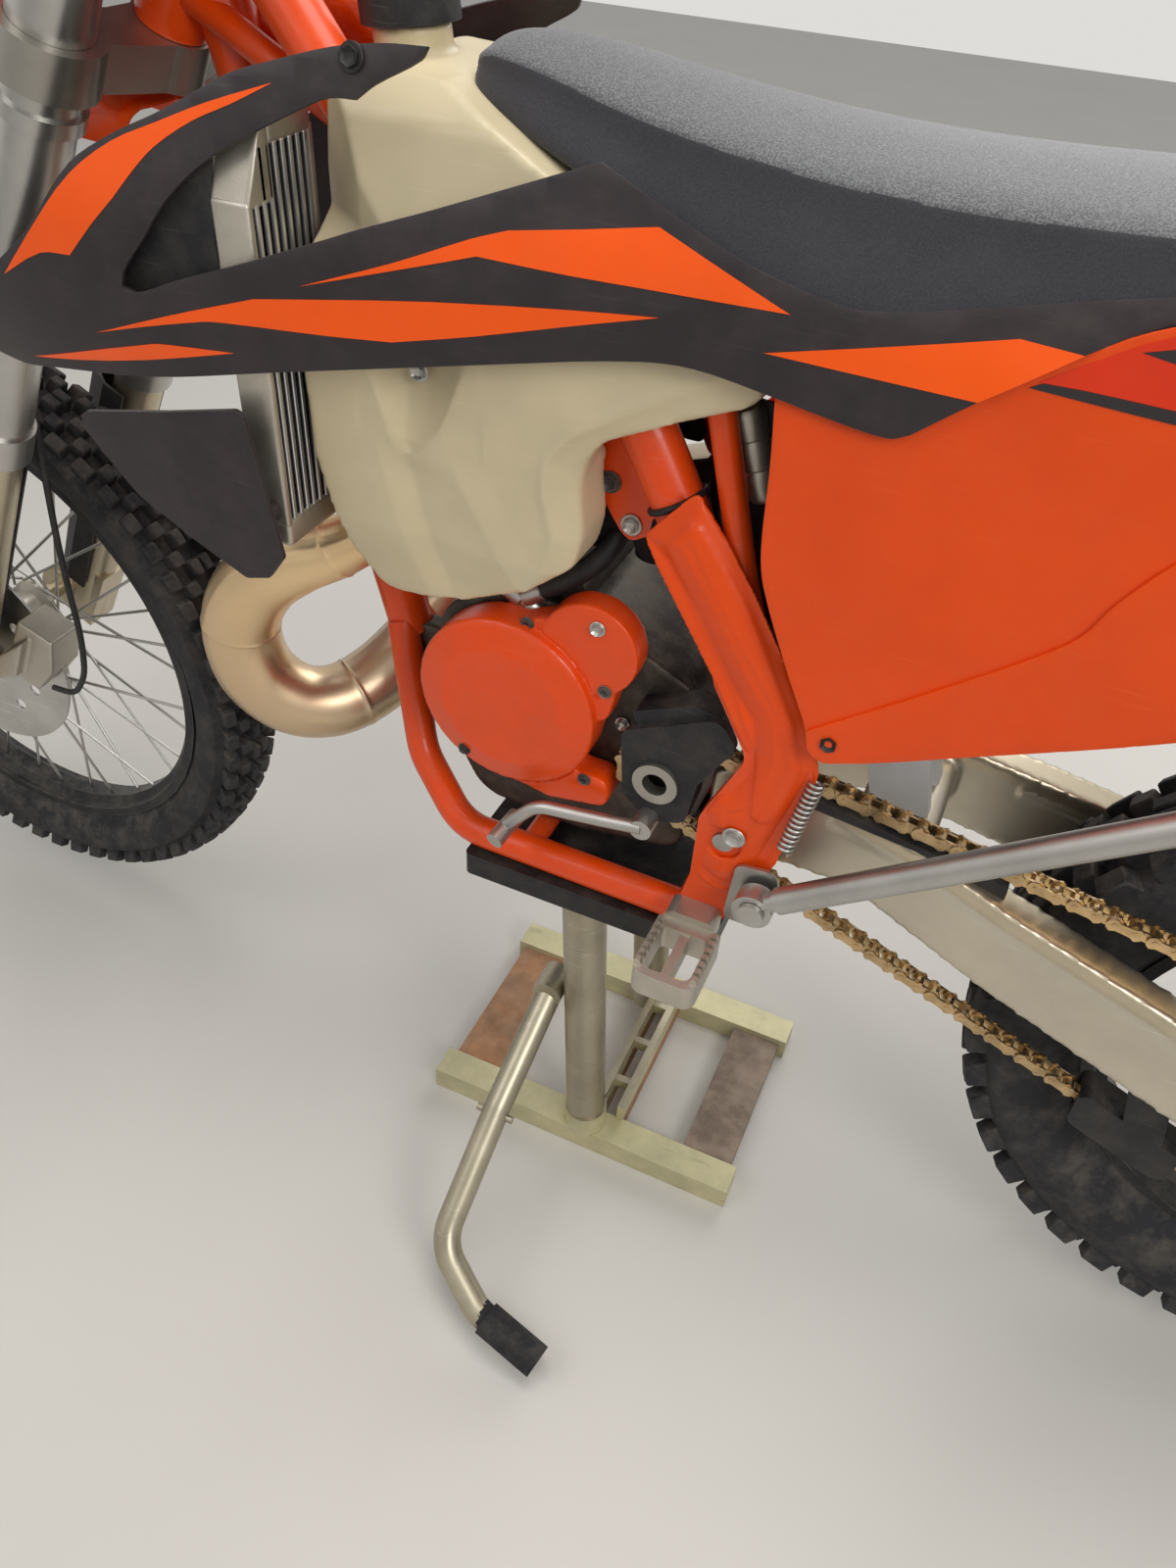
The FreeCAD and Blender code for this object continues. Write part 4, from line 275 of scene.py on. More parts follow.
def relief_of(tree, strength, scale):
    """The normal of a surface with a fine grain."""
    texture = node_of(tree, "ShaderNodeGroup", {"Scale": scale}, node_tree=grain_group)
    return node_of(tree, "ShaderNodeBump", {
        "Strength": strength, "Distance": 0.0004, "Height": texture.outputs["Height"]}).outputs[0]


def finish(name, colour, rough, metal=0.0, coat=0.0, drift=0.1, drift_size=14.0, grain=900.0,
           bump=0.1, worn=None, wear=0.0, width=0.0015, scratches=0.0, dust=0.1, sheen=0.0):
    material, tree, shader = new_material(name)
    mottled = node_of(tree, "ShaderNodeGroup", {"Colour": colour, "Scale": drift_size, "Amount": drift},
                      node_tree=mottle_group)
    tint = mottled.outputs["Colour"]
    if wear or scratches:
        tint = node_of(tree, "ShaderNodeGroup", {
            "Colour": tint, "Worn Colour": worn or colour, "Amount": wear, "Width": width,
            "Scratches": scratches}, node_tree=wear_group).outputs["Colour"]
    dusty = node_of(tree, "ShaderNodeGroup", {"Colour": tint, "Amount": dust}, node_tree=dust_group)
    spread = range_of(tree, mottled.outputs["Value"], 0.0, 1.0, rough - 0.07, rough + 0.07)
    fed(tree, shader, {
        "Base Color": dusty.outputs["Colour"], "Metallic": metal, "Normal": relief_of(tree, bump, grain),
        "Roughness": math_of(tree, "MULTIPLY_ADD", dusty.outputs["Mask"], 0.35, spread, clamp=True),
        "Coat Weight": coat, "Coat Roughness": 0.18, "Sheen Weight": sheen,
        "Specular IOR Level": 0.5 if metal > 0.5 else 0.28})
    return material


BARE = rgb(196, 190, 180)
FINISHES = {
    "tyre_rubber": dict(colour=rgb(38, 38, 41), rough=0.72, drift=0.2, bump=0.25, grain=700, dust=0.3),
    "black_rim": dict(colour=rgb(34, 34, 36), rough=0.36, metal=0.3, worn=BARE, wear=0.4, dust=0.2),
    "spoke_steel": dict(colour=rgb(176, 174, 170), rough=0.3, metal=1.0, dust=0.15),
    "disc_steel": dict(colour=rgb(188, 186, 182), rough=0.3, metal=1.0, scratches=0.5,
                       worn=rgb(232, 230, 226), drift=0.15),
    "sprocket_steel": dict(colour=rgb(150, 146, 138), rough=0.4, metal=1.0, worn=BARE, wear=0.6, dust=0.25),
    "chain_steel": dict(colour=rgb(190, 164, 124), rough=0.36, metal=1.0, drift=0.3, drift_size=60,
                        worn=rgb(214, 190, 150), wear=0.7, width=0.001, dust=0.25),
    "cast_alloy": dict(colour=rgb(186, 180, 168), rough=0.42, metal=0.9, bump=0.35, grain=500,
                       worn=rgb(226, 222, 214), wear=0.5, drift=0.16, dust=0.2),
    "leg_alloy": dict(colour=rgb(196, 184, 160), rough=0.32, metal=0.9, scratches=0.25, worn=BARE, dust=0.12),
    "fork_tube_black": dict(colour=rgb(186, 184, 180), rough=0.3, metal=0.95, scratches=0.3, worn=BARE),
    "clamp_alloy": dict(colour=rgb(168, 164, 156), rough=0.36, metal=0.95, wear=0.4, worn=BARE, dust=0.15),
    "bar_black": dict(colour=rgb(40, 40, 42), rough=0.38, metal=0.2, wear=0.3, worn=BARE),
    "soft_grip": dict(colour=rgb(36, 36, 37), rough=0.8, bump=0.4, grain=500, dust=0.15),
    "black_plastic": dict(colour=rgb(34, 33, 35), rough=0.5, bump=0.3, grain=1100, wear=0.25,
                          worn=rgb(110, 106, 104), scratches=0.15, dust=0.18),
    "charcoal_plastic": dict(colour=rgb(48, 41, 43), rough=0.44, bump=0.12, grain=1200, coat=0.05, drift=0.12,
                             wear=0.3, worn=rgb(96, 90, 92), scratches=0.12, dust=0.08),
    "orange_plastic": dict(colour=rgb(232, 74, 2), rough=0.4, coat=0.12, drift=0.07, drift_size=9,
                           wear=0.25, worn=rgb(250, 130, 66), scratches=0.1, dust=0.04, bump=0.05),
    "orange_film": dict(colour=rgb(255, 90, 0), rough=0.34, coat=0.2, drift=0.05, dust=0.03, bump=0.04),
    "deep_orange_film": dict(colour=rgb(222, 50, 8), rough=0.36, coat=0.2, drift=0.06, dust=0.03, bump=0.04),
    "cream_plastic": dict(colour=rgb(206, 190, 154), rough=0.36, coat=0.15, drift=0.1, drift_size=7,
                          scratches=0.1, worn=rgb(236, 230, 214), dust=0.08, bump=0.06),
    "lamp_lens": dict(colour=rgb(214, 218, 222), rough=0.12, coat=1.0, drift=0.03, dust=0.05),
    "red_lens": dict(colour=rgb(170, 18, 16), rough=0.2, coat=0.8, drift=0.05, dust=0.05),
    "frame_paint": dict(colour=rgb(230, 72, 4), rough=0.34, coat=0.3, drift=0.07, wear=0.4,
                        worn=rgb(214, 190, 172), scratches=0.06, dust=0.08, bump=0.06),
    "arm_alloy": dict(colour=rgb(198, 190, 172), rough=0.4, metal=0.85, bump=0.25, grain=800, scratches=0.3,
                      worn=rgb(224, 220, 210), drift=0.08, dust=0.15),
    # The engine's pale worn corners are partly painted highlights: they stand for glints as well as for wear.
    "engine_alloy": dict(colour=rgb(60, 54, 48), rough=0.44, metal=0.6, bump=0.5, grain=420, drift=0.3,
                         drift_size=30, wear=0.6, worn=rgb(168, 162, 150), dust=0.35),
    "cover_black": dict(colour=rgb(52, 50, 50), rough=0.46, metal=0.3, bump=0.3, grain=500, wear=0.5,
                        worn=BARE, dust=0.25),
    "silencer_alloy": dict(colour=rgb(190, 188, 184), rough=0.34, metal=0.95, scratches=0.4, worn=BARE),
    "zinc_steel": dict(colour=rgb(180, 178, 174), rough=0.34, metal=0.95, wear=0.4, worn=rgb(230, 228, 222),
                       drift=0.14, dust=0.2),
    "spring_paint": dict(colour=rgb(226, 226, 222), rough=0.32, coat=0.4, dust=0.25),
    "hose_black": dict(colour=rgb(34, 34, 35), rough=0.5, dust=0.15),
    "stand_olive": dict(colour=rgb(196, 188, 148), rough=0.42, metal=0.35, coat=0.2, drift=0.16,
                        drift_size=24, wear=0.7, worn=rgb(128, 118, 92), scratches=0.25, dust=0.15),
    "steel_column": dict(colour=rgb(168, 160, 140), rough=0.36, metal=0.9, drift=0.2, scratches=0.4,
                         worn=rgb(214, 208, 192), dust=0.15),
    "stand_black": dict(colour=rgb(30, 28, 29), rough=0.42, bump=0.4, grain=1000, scratches=0.2,
                        worn=rgb(90, 86, 84), dust=0.12),
    "grey_board": dict(colour=rgb(136, 118, 102), rough=0.8, drift=0.34, drift_size=30, bump=0.7, grain=240,
                       wear=0.4, worn=rgb(150, 104, 78), dust=0.4),
    "raw_board": dict(colour=rgb(166, 122, 88), rough=0.75, drift=0.3, drift_size=40, bump=0.6, grain=260,
                      wear=0.5, worn=rgb(128, 116, 104), dust=0.3),
    "dark_film": dict(colour=rgb(44, 38, 40), rough=0.36, coat=0.3, drift=0.05, dust=0.04),
    "fin_metal": dict(colour=rgb(206, 206, 208), rough=0.3, metal=0.9, dust=0.1),
}
materials = {name: finish(name, **values) for name, values in FINISHES.items()}
print("finishes", len(materials))

# %% [markdown]
# The exhaust is mild steel that heat has tinted, so its colour follows the pipe: straw and
# bronze where gas is hottest, greyer further on. The tint reads a number stored on each
# point of the pipe, 0 at the engine and 1 at the silencer, through a colour ramp.

# %% Heat-tinted steel
HEAT = [(0.0, rgb(150, 118, 94)), (0.08, rgb(196, 160, 120)), (0.2, rgb(228, 194, 148)),
        (0.34, rgb(236, 206, 160)), (0.5, rgb(216, 188, 152)), (0.7, rgb(196, 176, 150)),
        (1.0, rgb(180, 168, 152))]
bronze, tree, shader = new_material("exhaust_bronze")
along = node_of(tree, "ShaderNodeAttribute", attribute_name="along")
drift = noise_of(tree, 16.0, 4.0)
shifted = math_of(tree, "MULTIPLY_ADD", drift, 0.16, along.outputs["Fac"])
ramp = node_of(tree, "ShaderNodeValToRGB", {"Fac": shifted})
while len(ramp.color_ramp.elements) < len(HEAT):
    ramp.color_ramp.elements.new(0.5)
for stop, (at_share, colour) in zip(ramp.color_ramp.elements, HEAT):
    stop.position = at_share
    stop.color = colour
soot = node_of(tree, "ShaderNodeGroup", {"Colour": ramp.outputs["Color"], "Amount": 0.18},
               node_tree=dust_group)
fed(tree, shader, {
    "Base Color": soot.outputs["Colour"], "Metallic": 0.92, "Normal": relief_of(tree, 0.12, 900.0),
    "Roughness": range_of(tree, drift, 0.0, 1.0, 0.24, 0.42)})
materials["exhaust_bronze"] = bronze
print("heat stops", len(HEAT))

# %% [markdown]
# The seat cover is one grained skin with two looks: a plain dark side, and a top whose
# coarse grain has gone pale. Both are the same recipe, with pale specks only on the top.

# %% Seat cover


def seat_finish(name, ground, speck, most):
    """Specks of another colour, at most this strong, on a grained ground."""
    material = finish(name, ground, rough=0.6, bump=0.35, grain=820, drift=0.08, dust=0.03, sheen=0.15)
    tree = material.node_tree
    shader = tree.nodes["Principled BSDF"]
    base = shader.inputs["Base Color"].links[0].from_socket
    specks = range_of(tree, noise_of(tree, 760.0, 2.0), 0.46, 0.56, 0.0, most)
    fed(tree, shader, {"Base Color": mix_of(tree, specks, base, speck)})
    return material


materials["seat_side"] = seat_finish("seat_side", rgb(52, 51, 55), rgb(70, 69, 73), 0.4)
materials["seat_top"] = seat_finish("seat_top", rgb(76, 76, 77), rgb(118, 118, 117), 0.75)
print("seat finishes", materials["seat_side"].name, materials["seat_top"].name)

# %% [markdown]
# Each CAD node that stays in view gets the finish of its material slot. The wheels are one
# node each, so their faces are sorted by distance from the axle: rim, spokes, then hub.

# %% Finishes on the CAD nodes
slot_of = {row["node"]: row["material_slot"] for row in frame["record"]["subparts"]}
FINISH_OF_NODE = {"fork_sliders": "leg_alloy", "frame_guards": "frame_paint", "ignition_cover": "frame_paint",
                  "shrouds": "charcoal_plastic", "lower_spoilers": "charcoal_plastic", "seat": "seat_side",
                  "lift_lever": "steel_column"}
for name, part in frame["nodes"].items():
    part.data.materials.clear()
    part.data.materials.append(materials[FINISH_OF_NODE.get(name, slot_of[name])])

WHEELS = {
    "front": dict(x=0.0, z=417.0, tyre_r=349.0, half=45.0, seat_r=267.0, rim_half=24.0,
                  flange_r=29.0, knobs=64),
    "rear": dict(x=1480.0, z=411.0, tyre_r=343.0, half=62.0, seat_r=229.0, rim_half=31.0,
                 flange_r=44.0, knobs=44),
}


def paint_faces(piece, rule, names):
    """Give each face the finish whose number rule(middle, normal) returns."""
    for name in names:
        if materials[name] not in list(piece.data.materials):
            piece.data.materials.append(materials[name])
    numbers = [list(piece.data.materials).index(materials[name]) for name in names]
    for face in piece.data.polygons:
        face.material_index = numbers[rule(face.center, face.normal)]


for end, w in WHEELS.items():
    axle = place(w["x"], 0, w["z"])
    rim_from = (w["seat_r"] - 16.5) / 1000
    hub_to = (w["flange_r"] + 1.5) / 1000

    def ring_of(middle, normal):
        r = math.hypot(middle.x - axle.x, middle.z - axle.z)
        return 0 if r > rim_from else (2 if r < hub_to else 1)
    paint_faces(frame["nodes"][end + "_wheel"], ring_of, ["black_rim", "spoke_steel", "cast_alloy"])

stand_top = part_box("lift_stand")[1].z
PAD_DEEP, BASE_TOP, SLEEVE_HIGH, BOARD_TOP = 0.03, 0.05, 0.135, 0.024


def stand_face(middle, normal):
    """The platform's pad, the column and its sleeve, the two boards, and else paint."""
    if middle.z > stand_top - PAD_DEEP:
        return 1
    if middle.z > BASE_TOP:
        near_foot = abs(middle.y + 0.08) < 0.03 and middle.z < SLEEVE_HIGH
        return 5 if near_foot and normal.z < 0.5 and middle.x < 0.08 else 2
    board = middle.z < BOARD_TOP and abs(middle.y - 0.03) < 0.092
    return (4 if middle.x > 0.1 else 3) if board else 0


paint_faces(frame["nodes"]["lift_stand"], stand_face,
            ["stand_olive", "stand_black", "steel_column", "raw_board", "grey_board", "cover_black"])
SLEEVE_FROM, SLEEVE_TOP = 0.802, 0.06
paint_faces(frame["nodes"]["lift_lever"],
            lambda middle, normal: 1 if middle.x + X_MID > SLEEVE_FROM and middle.z < SLEEVE_TOP else 0,
            ["steel_column", "soft_grip"])
sprocket_pin = place(841, 0, 580)


def cover_face(middle, normal):
    r = math.hypot(middle.x - sprocket_pin.x, middle.z - sprocket_pin.z)
    return 1 if 0.0105 < r < 0.0205 else 0


paint_faces(frame["nodes"]["sprocket_cover"], cover_face, ["black_plastic", "clamp_alloy"])
print("painted", len(frame["nodes"]), "nodes")

# %% [markdown]
# A few helpers carry the modelling. `applied` adds a modifier and applies it, `edited` runs
# mesh operators on a whole piece, and `reshaped` moves its points by a rule in the bike's
# millimetres.

# %% Modelling helpers


def selected(piece):
    bpy.ops.object.select_all(action="DESELECT")
    piece.select_set(True)
    bpy.context.view_layer.objects.active = piece
    return piece


def applied(piece, kind, **settings):
    selected(piece)
    modifier = piece.modifiers.new(kind.lower(), kind)
    for key, value in settings.items():
        setattr(modifier, key, value)
    bpy.ops.object.modifier_apply(modifier=modifier.name)
    return piece


def edited(piece, *steps):
    """Run operators, each a pair of operator and settings, with everything selected."""
    selected(piece)
    bpy.ops.object.mode_set(mode="EDIT")
    for step, settings in steps:
        bpy.ops.mesh.select_all(action="SELECT")
        step(**settings)
    bpy.ops.object.mode_set(mode="OBJECT")
    return piece


def outward(piece, merge=0.00001):
    """Merge doubles and turn all faces outwards."""
    return edited(piece, (bpy.ops.mesh.remove_doubles, {"threshold": merge}),
                  (bpy.ops.mesh.normals_make_consistent, {"inside": False}))


def facing(piece, way):
    """Flip the faces if, taken together, they look the other way."""
    if sum(face.normal.dot(Vector(way)) * face.area for face in piece.data.polygons) < 0:
        edited(piece, (bpy.ops.mesh.flip_normals, {}))
    return piece


def closed_ends(piece):
    """Fill the open ends of a tube."""
    selected(piece)
    bpy.ops.object.mode_set(mode="EDIT")
    bpy.ops.mesh.select_all(action="DESELECT")
    bpy.ops.mesh.select_non_manifold()
    bpy.ops.mesh.edge_face_add()
    bpy.ops.object.mode_set(mode="OBJECT")
    return piece


def reshaped(piece, rule):
    """Move each point to rule(x, y, z)."""
    for vertex in piece.data.vertices:
        vertex.co = place(*rule(*at(vertex.co)))
    return piece


# %% [markdown]
# Parts start from a few plain shapes: a polygon through given points, a sheet that gets a
# wall, a prism with few or many sides. `done` ends each part.

# %% First shapes and finished pieces


def walled(sheet, wall, rim):
    """Give a sheet a wall behind the face that shows, and a rounded rim."""
    applied(sheet, "SOLIDIFY", thickness=wall / 1000, offset=-1.0)
    if rim:
        applied(sheet, "BEVEL", width=rim / 1000, segments=2, limit_method="ANGLE",
                angle_limit=math.radians(50))
    return sheet


def polygon(points, fill="NGON"):
    """A face, or only its edge, through a ring of points."""
    bpy.ops.mesh.primitive_circle_add(vertices=len(points), fill_type=fill)
    piece = bpy.context.object
    for vertex, point in zip(piece.data.vertices, points):
        vertex.co = point
    return piece


def aimed(point, way):
    """The matrix that carries what stands on the origin to a point and turns it along a way."""
    return Matrix.Translation(point) @ way.to_track_quat("Z", "Y").to_matrix().to_4x4()


def prism(sides, radius, depth, location=(0, 0, 0), rotation=(0, 0, 0)):
    """A cylinder with few or many sides, in metres, with its place applied."""
    bpy.ops.mesh.primitive_cylinder_add(vertices=sides, radius=radius, depth=depth, rotation=rotation,
                                        location=location)
    bpy.ops.object.transform_apply(location=True, rotation=True, scale=True)
    return bpy.context.object


def done(piece, name, body, slot, material=None, replaces=(), smooth=35):
    """End a piece. Without a material of its own it gets the finish named like its slot."""
    selected(piece)
    bpy.ops.object.transform_apply(location=True, rotation=True, scale=True)
    piece.name = name
    if not piece.data.materials:
        piece.data.materials.append(materials[material or slot])
    bpy.ops.object.shade_smooth_by_angle(angle=math.radians(smooth))
    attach(piece, body)
    if replaces:
        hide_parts(*replaces)
    print(name, "faces", len(piece.data.polygons))
    return piece


def joined(pieces):
    bpy.ops.object.select_all(action="DESELECT")
    for piece in pieces:
        piece.select_set(True)
    bpy.context.view_layer.objects.active = pieces[0]
    if len(pieces) > 1:
        bpy.ops.object.join()
    return pieces[0]


def twin(piece, matrix):
    """A copy with its own mesh, moved by a matrix."""
    copy = piece.copy()
    copy.data = piece.data.copy()
    copy.data.transform(matrix)
    bpy.context.scene.collection.objects.link(copy)
    return copy


def both_sides(piece):
    return outward(applied(piece, "MIRROR", use_axis=(False, True, False), use_mirror_merge=False))


# %% [markdown]
# A moulded panel starts as an outline of points, read in side view. `flowing` draws a
# smooth line through them and keeps a corner sharp where a point has a third value.
# `panel` fills the outline, cuts it into a net with bisect, moves the net onto the curved
# side of the bike, and gives it a wall and a rounded rim. Bisect keeps the outline exact,
# which a plain grid with deleted cells would not.

# %% Panels


def flowing(points, steps=4, closed=True):
    line = []
    count = len(points)
    flat = [Vector(p[:2]) for p in points]

    def heading(i, segment):
        if len(points[i]) > 2 or (not closed and i in (0, count - 1)):
            return segment.normalized()
        return (flat[(i + 1) % count] - flat[i - 1]).normalized()
    for i in range(count if closed else count - 1):
        a, b = flat[i], flat[(i + 1) % count]
        segment = b - a
        start = heading(i, segment) * segment.length
        end = heading((i + 1) % count, segment) * segment.length
        for k in range(steps):
            t = k / steps
            line.append(a * (2 * t ** 3 - 3 * t ** 2 + 1) + start * (t ** 3 - 2 * t ** 2 + t)
                        + b * (3 * t ** 2 - 2 * t ** 3) + end * (t ** 3 - t ** 2))
    if not closed:
        line.append(flat[-1])
    return line


def panel(outline, depth, wall=3.0, cell=14.0, steps=4, lift=0.0, rim=0.7):
    piece = polygon([place(point.x, 0, point.y) for point in flowing(outline, steps)])
    cuts = []
    for way in (Vector((1, 0, 0)), Vector((0, 0, 1))):
        spots = [vertex.co.dot(way) for vertex in piece.data.vertices]
        low, span = min(spots), max(spots) - min(spots)
        count = int(span / (cell / 1000))
        cuts += [(bpy.ops.mesh.bisect, {"plane_co": way * (low + i * span / (count + 1)), "plane_no": way})
                 for i in range(1, count + 1)]
    edited(piece, *cuts, (bpy.ops.mesh.remove_doubles, {"threshold": 0.0004}))
    reshaped(piece, lambda x, y, z: (x, depth(x, z) - lift, z))
    return walled(facing(outward(piece, 0.0002), (0, -1, 0)), wall, rim)


def over(rows, x, spread=30.0):
    """A value from a table of (x, value), softened over a spread to each side."""
    total = 0.0
    for step in (-1.0, -0.5, 0.0, 0.5, 1.0):
        at_x = x + step * spread
        value = rows[-1][1] if at_x >= rows[-1][0] else rows[0][1]
        for (x0, v0), (x1, v1) in zip(rows, rows[1:]):
            if x0 <= at_x <= x1:
                value = v0 + (v1 - v0) * (at_x - x0) / (x1 - x0)
        total += value
    return total / 5


def past(value, limit, blend=25.0):
    """How far value lies past limit, with a soft start."""
    d = value - limit
    if d <= -blend:
        return 0.0
    return d if d >= blend else (d + blend) ** 2 / (4 * blend)


# %% [markdown]
# The radiator shrouds are two swept charcoal mouldings. Each covers the radiator, sends an
# arm up over the tank, and runs back as a band under the seat. Their side leans in above
# and below a waist. The orange stripes are printed film, so they are thin panels that lie
# on the same surface.

# %% Shrouds and stripes
SHROUD_PLAN = [(230, 146), (250, 150), (330, 162), (450, 162), (600, 146), (780, 128), (960, 128),
               (1110, 126), (1400, 122)]


def shroud_side(x, z):
    return -(over(SHROUD_PLAN, x) - 0.30 * past(z, 985) - 0.25 * past(-z, -890))


SHROUD = [
    (252, 842, 1), (256, 872), (288, 905), (323, 926), (362, 956), (405, 1000), (440, 1021), (473, 1036),
    (500, 1050), (525, 1063), (550, 1071), (593, 1083), (627, 1088), (654, 1089, 1), (650, 1082),
    (622, 1067), (610, 1058, 1), (592, 1057), (577, 1051), (532, 1028), (509, 1014), (481, 989),
    (460, 963), (438, 938), (433, 926, 1), (445, 924), (475, 936), (525, 954), (585, 977), (618, 990),
    (666, 1007), (768, 1045, 1), (813, 1027), (864, 1009), (908, 999), (933, 996), (963, 1000),
    (1005, 1010), (1092, 1030), (1180, 1046, 1), (1182, 1040, 1), (1097, 1018), (1059, 996), (1012, 961),
    (980, 934, 1), (968, 929), (928, 933), (895, 938), (844, 944), (808, 941), (716, 922), (637, 905),
    (546, 885), (433, 859), (342, 845), (300, 838)]
STRIPES = [
    [(322, 914, 1), (368, 959), (405, 994), (440, 1017), (473, 1031), (510, 1046), (555, 1061, 1),
     (527, 1047), (500, 1035), (473, 1018), (457, 1003), (439, 984), (417, 964), (392, 940, 1), (365, 937)],
    [(574, 949, 1), (642, 974), (693, 995), (717, 1003, 1), (764, 1010), (810, 1018, 1), (897, 987, 1),
     (822, 985), (760, 984), (698, 986, 1), (668, 977), (641, 969)],
    [(399, 887, 1), (470, 913), (538, 935, 1), (668, 954), (818, 970, 1), (697, 937), (638, 923, 1),
     (588, 919), (514, 915), (496, 913), (447, 901)],
    [(319, 849, 1), (447, 888), (470, 891), (516, 894, 1), (401, 865)],
    [(886, 963, 1), (1024, 998, 1), (1059, 996, 1), (1012, 961, 1)],
]
shroud = both_sides(panel(SHROUD, shroud_side, wall=3.5, rim=1.0))
done(shroud, "shroud_skins", "chassis", "charcoal_plastic", replaces=["shrouds"])
DUCT = [(396, 912, 1), (404, 950), (436, 996), (478, 1026), (506, 1040, 1), (506, 990), (505, 925, 1),
        (440, 900)]
duct = both_sides(panel(DUCT, lambda x, z: shroud_side(x, z) + 12, wall=2.5, cell=20, rim=0.6))
done(duct, "radiator_ducts", "chassis", "black_plastic")
films = [panel(outline, shroud_side, wall=0.5, lift=0.35, steps=3, rim=0) for outline in STRIPES]
done(both_sides(joined(films)), "shroud_stripes", "chassis", "orange_plastic", "orange_film")

# %% [markdown]
# The side panels carry on from the shroud's band. They are glossy orange, nearly flat, with
# a lower part that stands proud below a crease, and a shallow hollow above it for the
# rider's calf. The lower part is a panel of its own, laid on the first: a step in one net
# would blur over a cell, while a second rim gives the crease a real edge and its shadow.

# %% Side panels
PANEL_EDGE = [
    (895, 935, 1), (899, 889), (902, 833), (908, 805), (933, 748), (955, 703), (963, 682), (978, 677),
    (1077, 723), (1185, 777), (1330, 862), (1436, 962), (1432, 1026), (1300, 1047), (1182, 1044, 1),
    (1097, 1018), (1059, 996), (1012, 960, 1), (980, 933, 1), (967, 927), (930, 931)]
LOWER_EDGE = [
    (958, 700, 1), (1005, 738), (1060, 784), (1086, 807), (1109, 831), (1122, 860), (1150, 900),
    (1230, 950), (1432, 1006, 1), (1436, 962), (1330, 862), (1185, 777), (1077, 723), (978, 677),
    (963, 682)]


def panel_side(x, z):
    hollow = 1.2 * math.exp(-(((x - 1040) / 90) ** 2 + ((z - 860) / 60) ** 2))
    tuck = 0.072 * past(x, 1200, 30)
    return -(121.4 - hollow - tuck)


upper = panel(PANEL_EDGE, panel_side, wall=2.4, cell=10.0, rim=0.8)
lower = panel(LOWER_EDGE, panel_side, wall=3.0, cell=10.0, lift=2.8, rim=1.2)
covers = both_sides(joined([upper, lower]))
done(covers, "side_panel_skins", "chassis", "orange_plastic", replaces=["side_panels"])
REAR_FILMS = [
    ("rear_red_film", "deep_orange_film", 0.3,
     [(1040, 977, 1), (1062, 992), (1099, 1014), (1184, 1040, 1), (1310, 1042, 1), (1316, 972, 1)]),
    ("rear_dark_stripe", "dark_film", 0.6,
     [(1036, 973, 1), (1106, 970), (1318, 964, 1), (1316, 973, 1), (1106, 977), (1044, 977)]),
    ("rear_dark_wedge", "dark_film", 0.6,
     [(1086, 1003, 1), (1184, 1034, 1), (1300, 1036, 1), (1290, 1010, 1), (1190, 992)]),
]
for name, material, lift, outline in REAR_FILMS:
    film = both_sides(panel(outline, panel_side, wall=0.4, lift=lift, steps=3, rim=0))
    done(film, name, "chassis", "orange_plastic", material)

# %% [markdown]
# Cast and blow-moulded parts have no sharp edges. For these the CAD node is copied, merged,
# remeshed into a fine even net and smoothed, which rounds every corner the way a mould
# does. What such a net can't keep crisp comes back afterwards, by moving its points.
# `beside` tells how far a point lies from a line drawn in side view, and on which side.

# %% Softened castings


def softened(nodes, voxel, rounds):
    copies = []
    for name in nodes:
        copy = frame["nodes"][name].copy()
        copy.data = frame["nodes"][name].data.copy()
        copy.parent = None
        for key in list(copy.keys()):
            if key.startswith("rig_"):
                del copy[key]
        bpy.context.scene.collection.objects.link(copy)
        copies.append(outward(copy, 0.00002))
    piece = joined(copies)
    piece.data.materials.clear()
    applied(piece, "REMESH", mode="VOXEL", voxel_size=voxel / 1000, adaptivity=0.0)
    applied(piece, "SMOOTH", factor=0.5, iterations=rounds)
    return piece


def beside(line, x, z):
    """Distance to a line in side view, negative on the left of the way it is drawn."""
    spot = Vector((x, z))
    least = 1e9
    for a, b in zip(line, line[1:]):
        a, b = Vector(a), Vector(b)
        t = min(max((spot - a).dot(b - a) / (b - a).length_squared, 0.0), 1.0)
        away = (spot - a - (b - a) * t).length
        if away < abs(least):
            least = math.copysign(away, (b - a).cross(spot - a)) if (b - a).cross(spot - a) else away
    return least


def share(value, start, end):
    return min(max((value - start) / (end - start), 0.0), 1.0)


# %% [markdown]
# The tank's sides carry the folded pocket for the shroud's screw, two ridges that run down
# from it, and a crease along the rear edge. Each is a line in side view and a rule for the
# depth next to it. Sculpting would do it by eye, but a rule gives the same tank each time.

# %% Fuel tank
POCKET_LOW = 831
POCKET_DEEP = 21.0


def pocket(x, z):
    """Depth of the folded hollow: a steep front wall and a floor that curls up to the rear."""
    up = (z - POCKET_LOW) / 55
    if up <= 0:
        return 0.0
    front, fold, rear = 622 - 20 * up ** 0.8, 624 - 3 * up, 631 + 40 * up ** 0.55
    if not front < x < rear:
        return 0.0
    part = (x - front) / (fold - front) if x < fold else 1 - ((x - fold) / (rear - fold)) ** 2
    return (5.0 + (POCKET_DEEP - 5.0) * min(up, 1.0)) * part * (1 - share(z, 903, 918))


RIDGE_FRONT = [(836, 622), (826, 625), (787, 633), (725, 648), (690, 656)]
RIDGE_REAR = [(840, 660), (818, 673), (782, 693), (750, 711), (700, 738)]
REAR_CREASE = [(875, 946), (851, 934), (826, 917), (803, 901), (786, 887), (773, 875), (759, 854),
               (752, 822), (752, 793), (741, 763), (726, 740)]


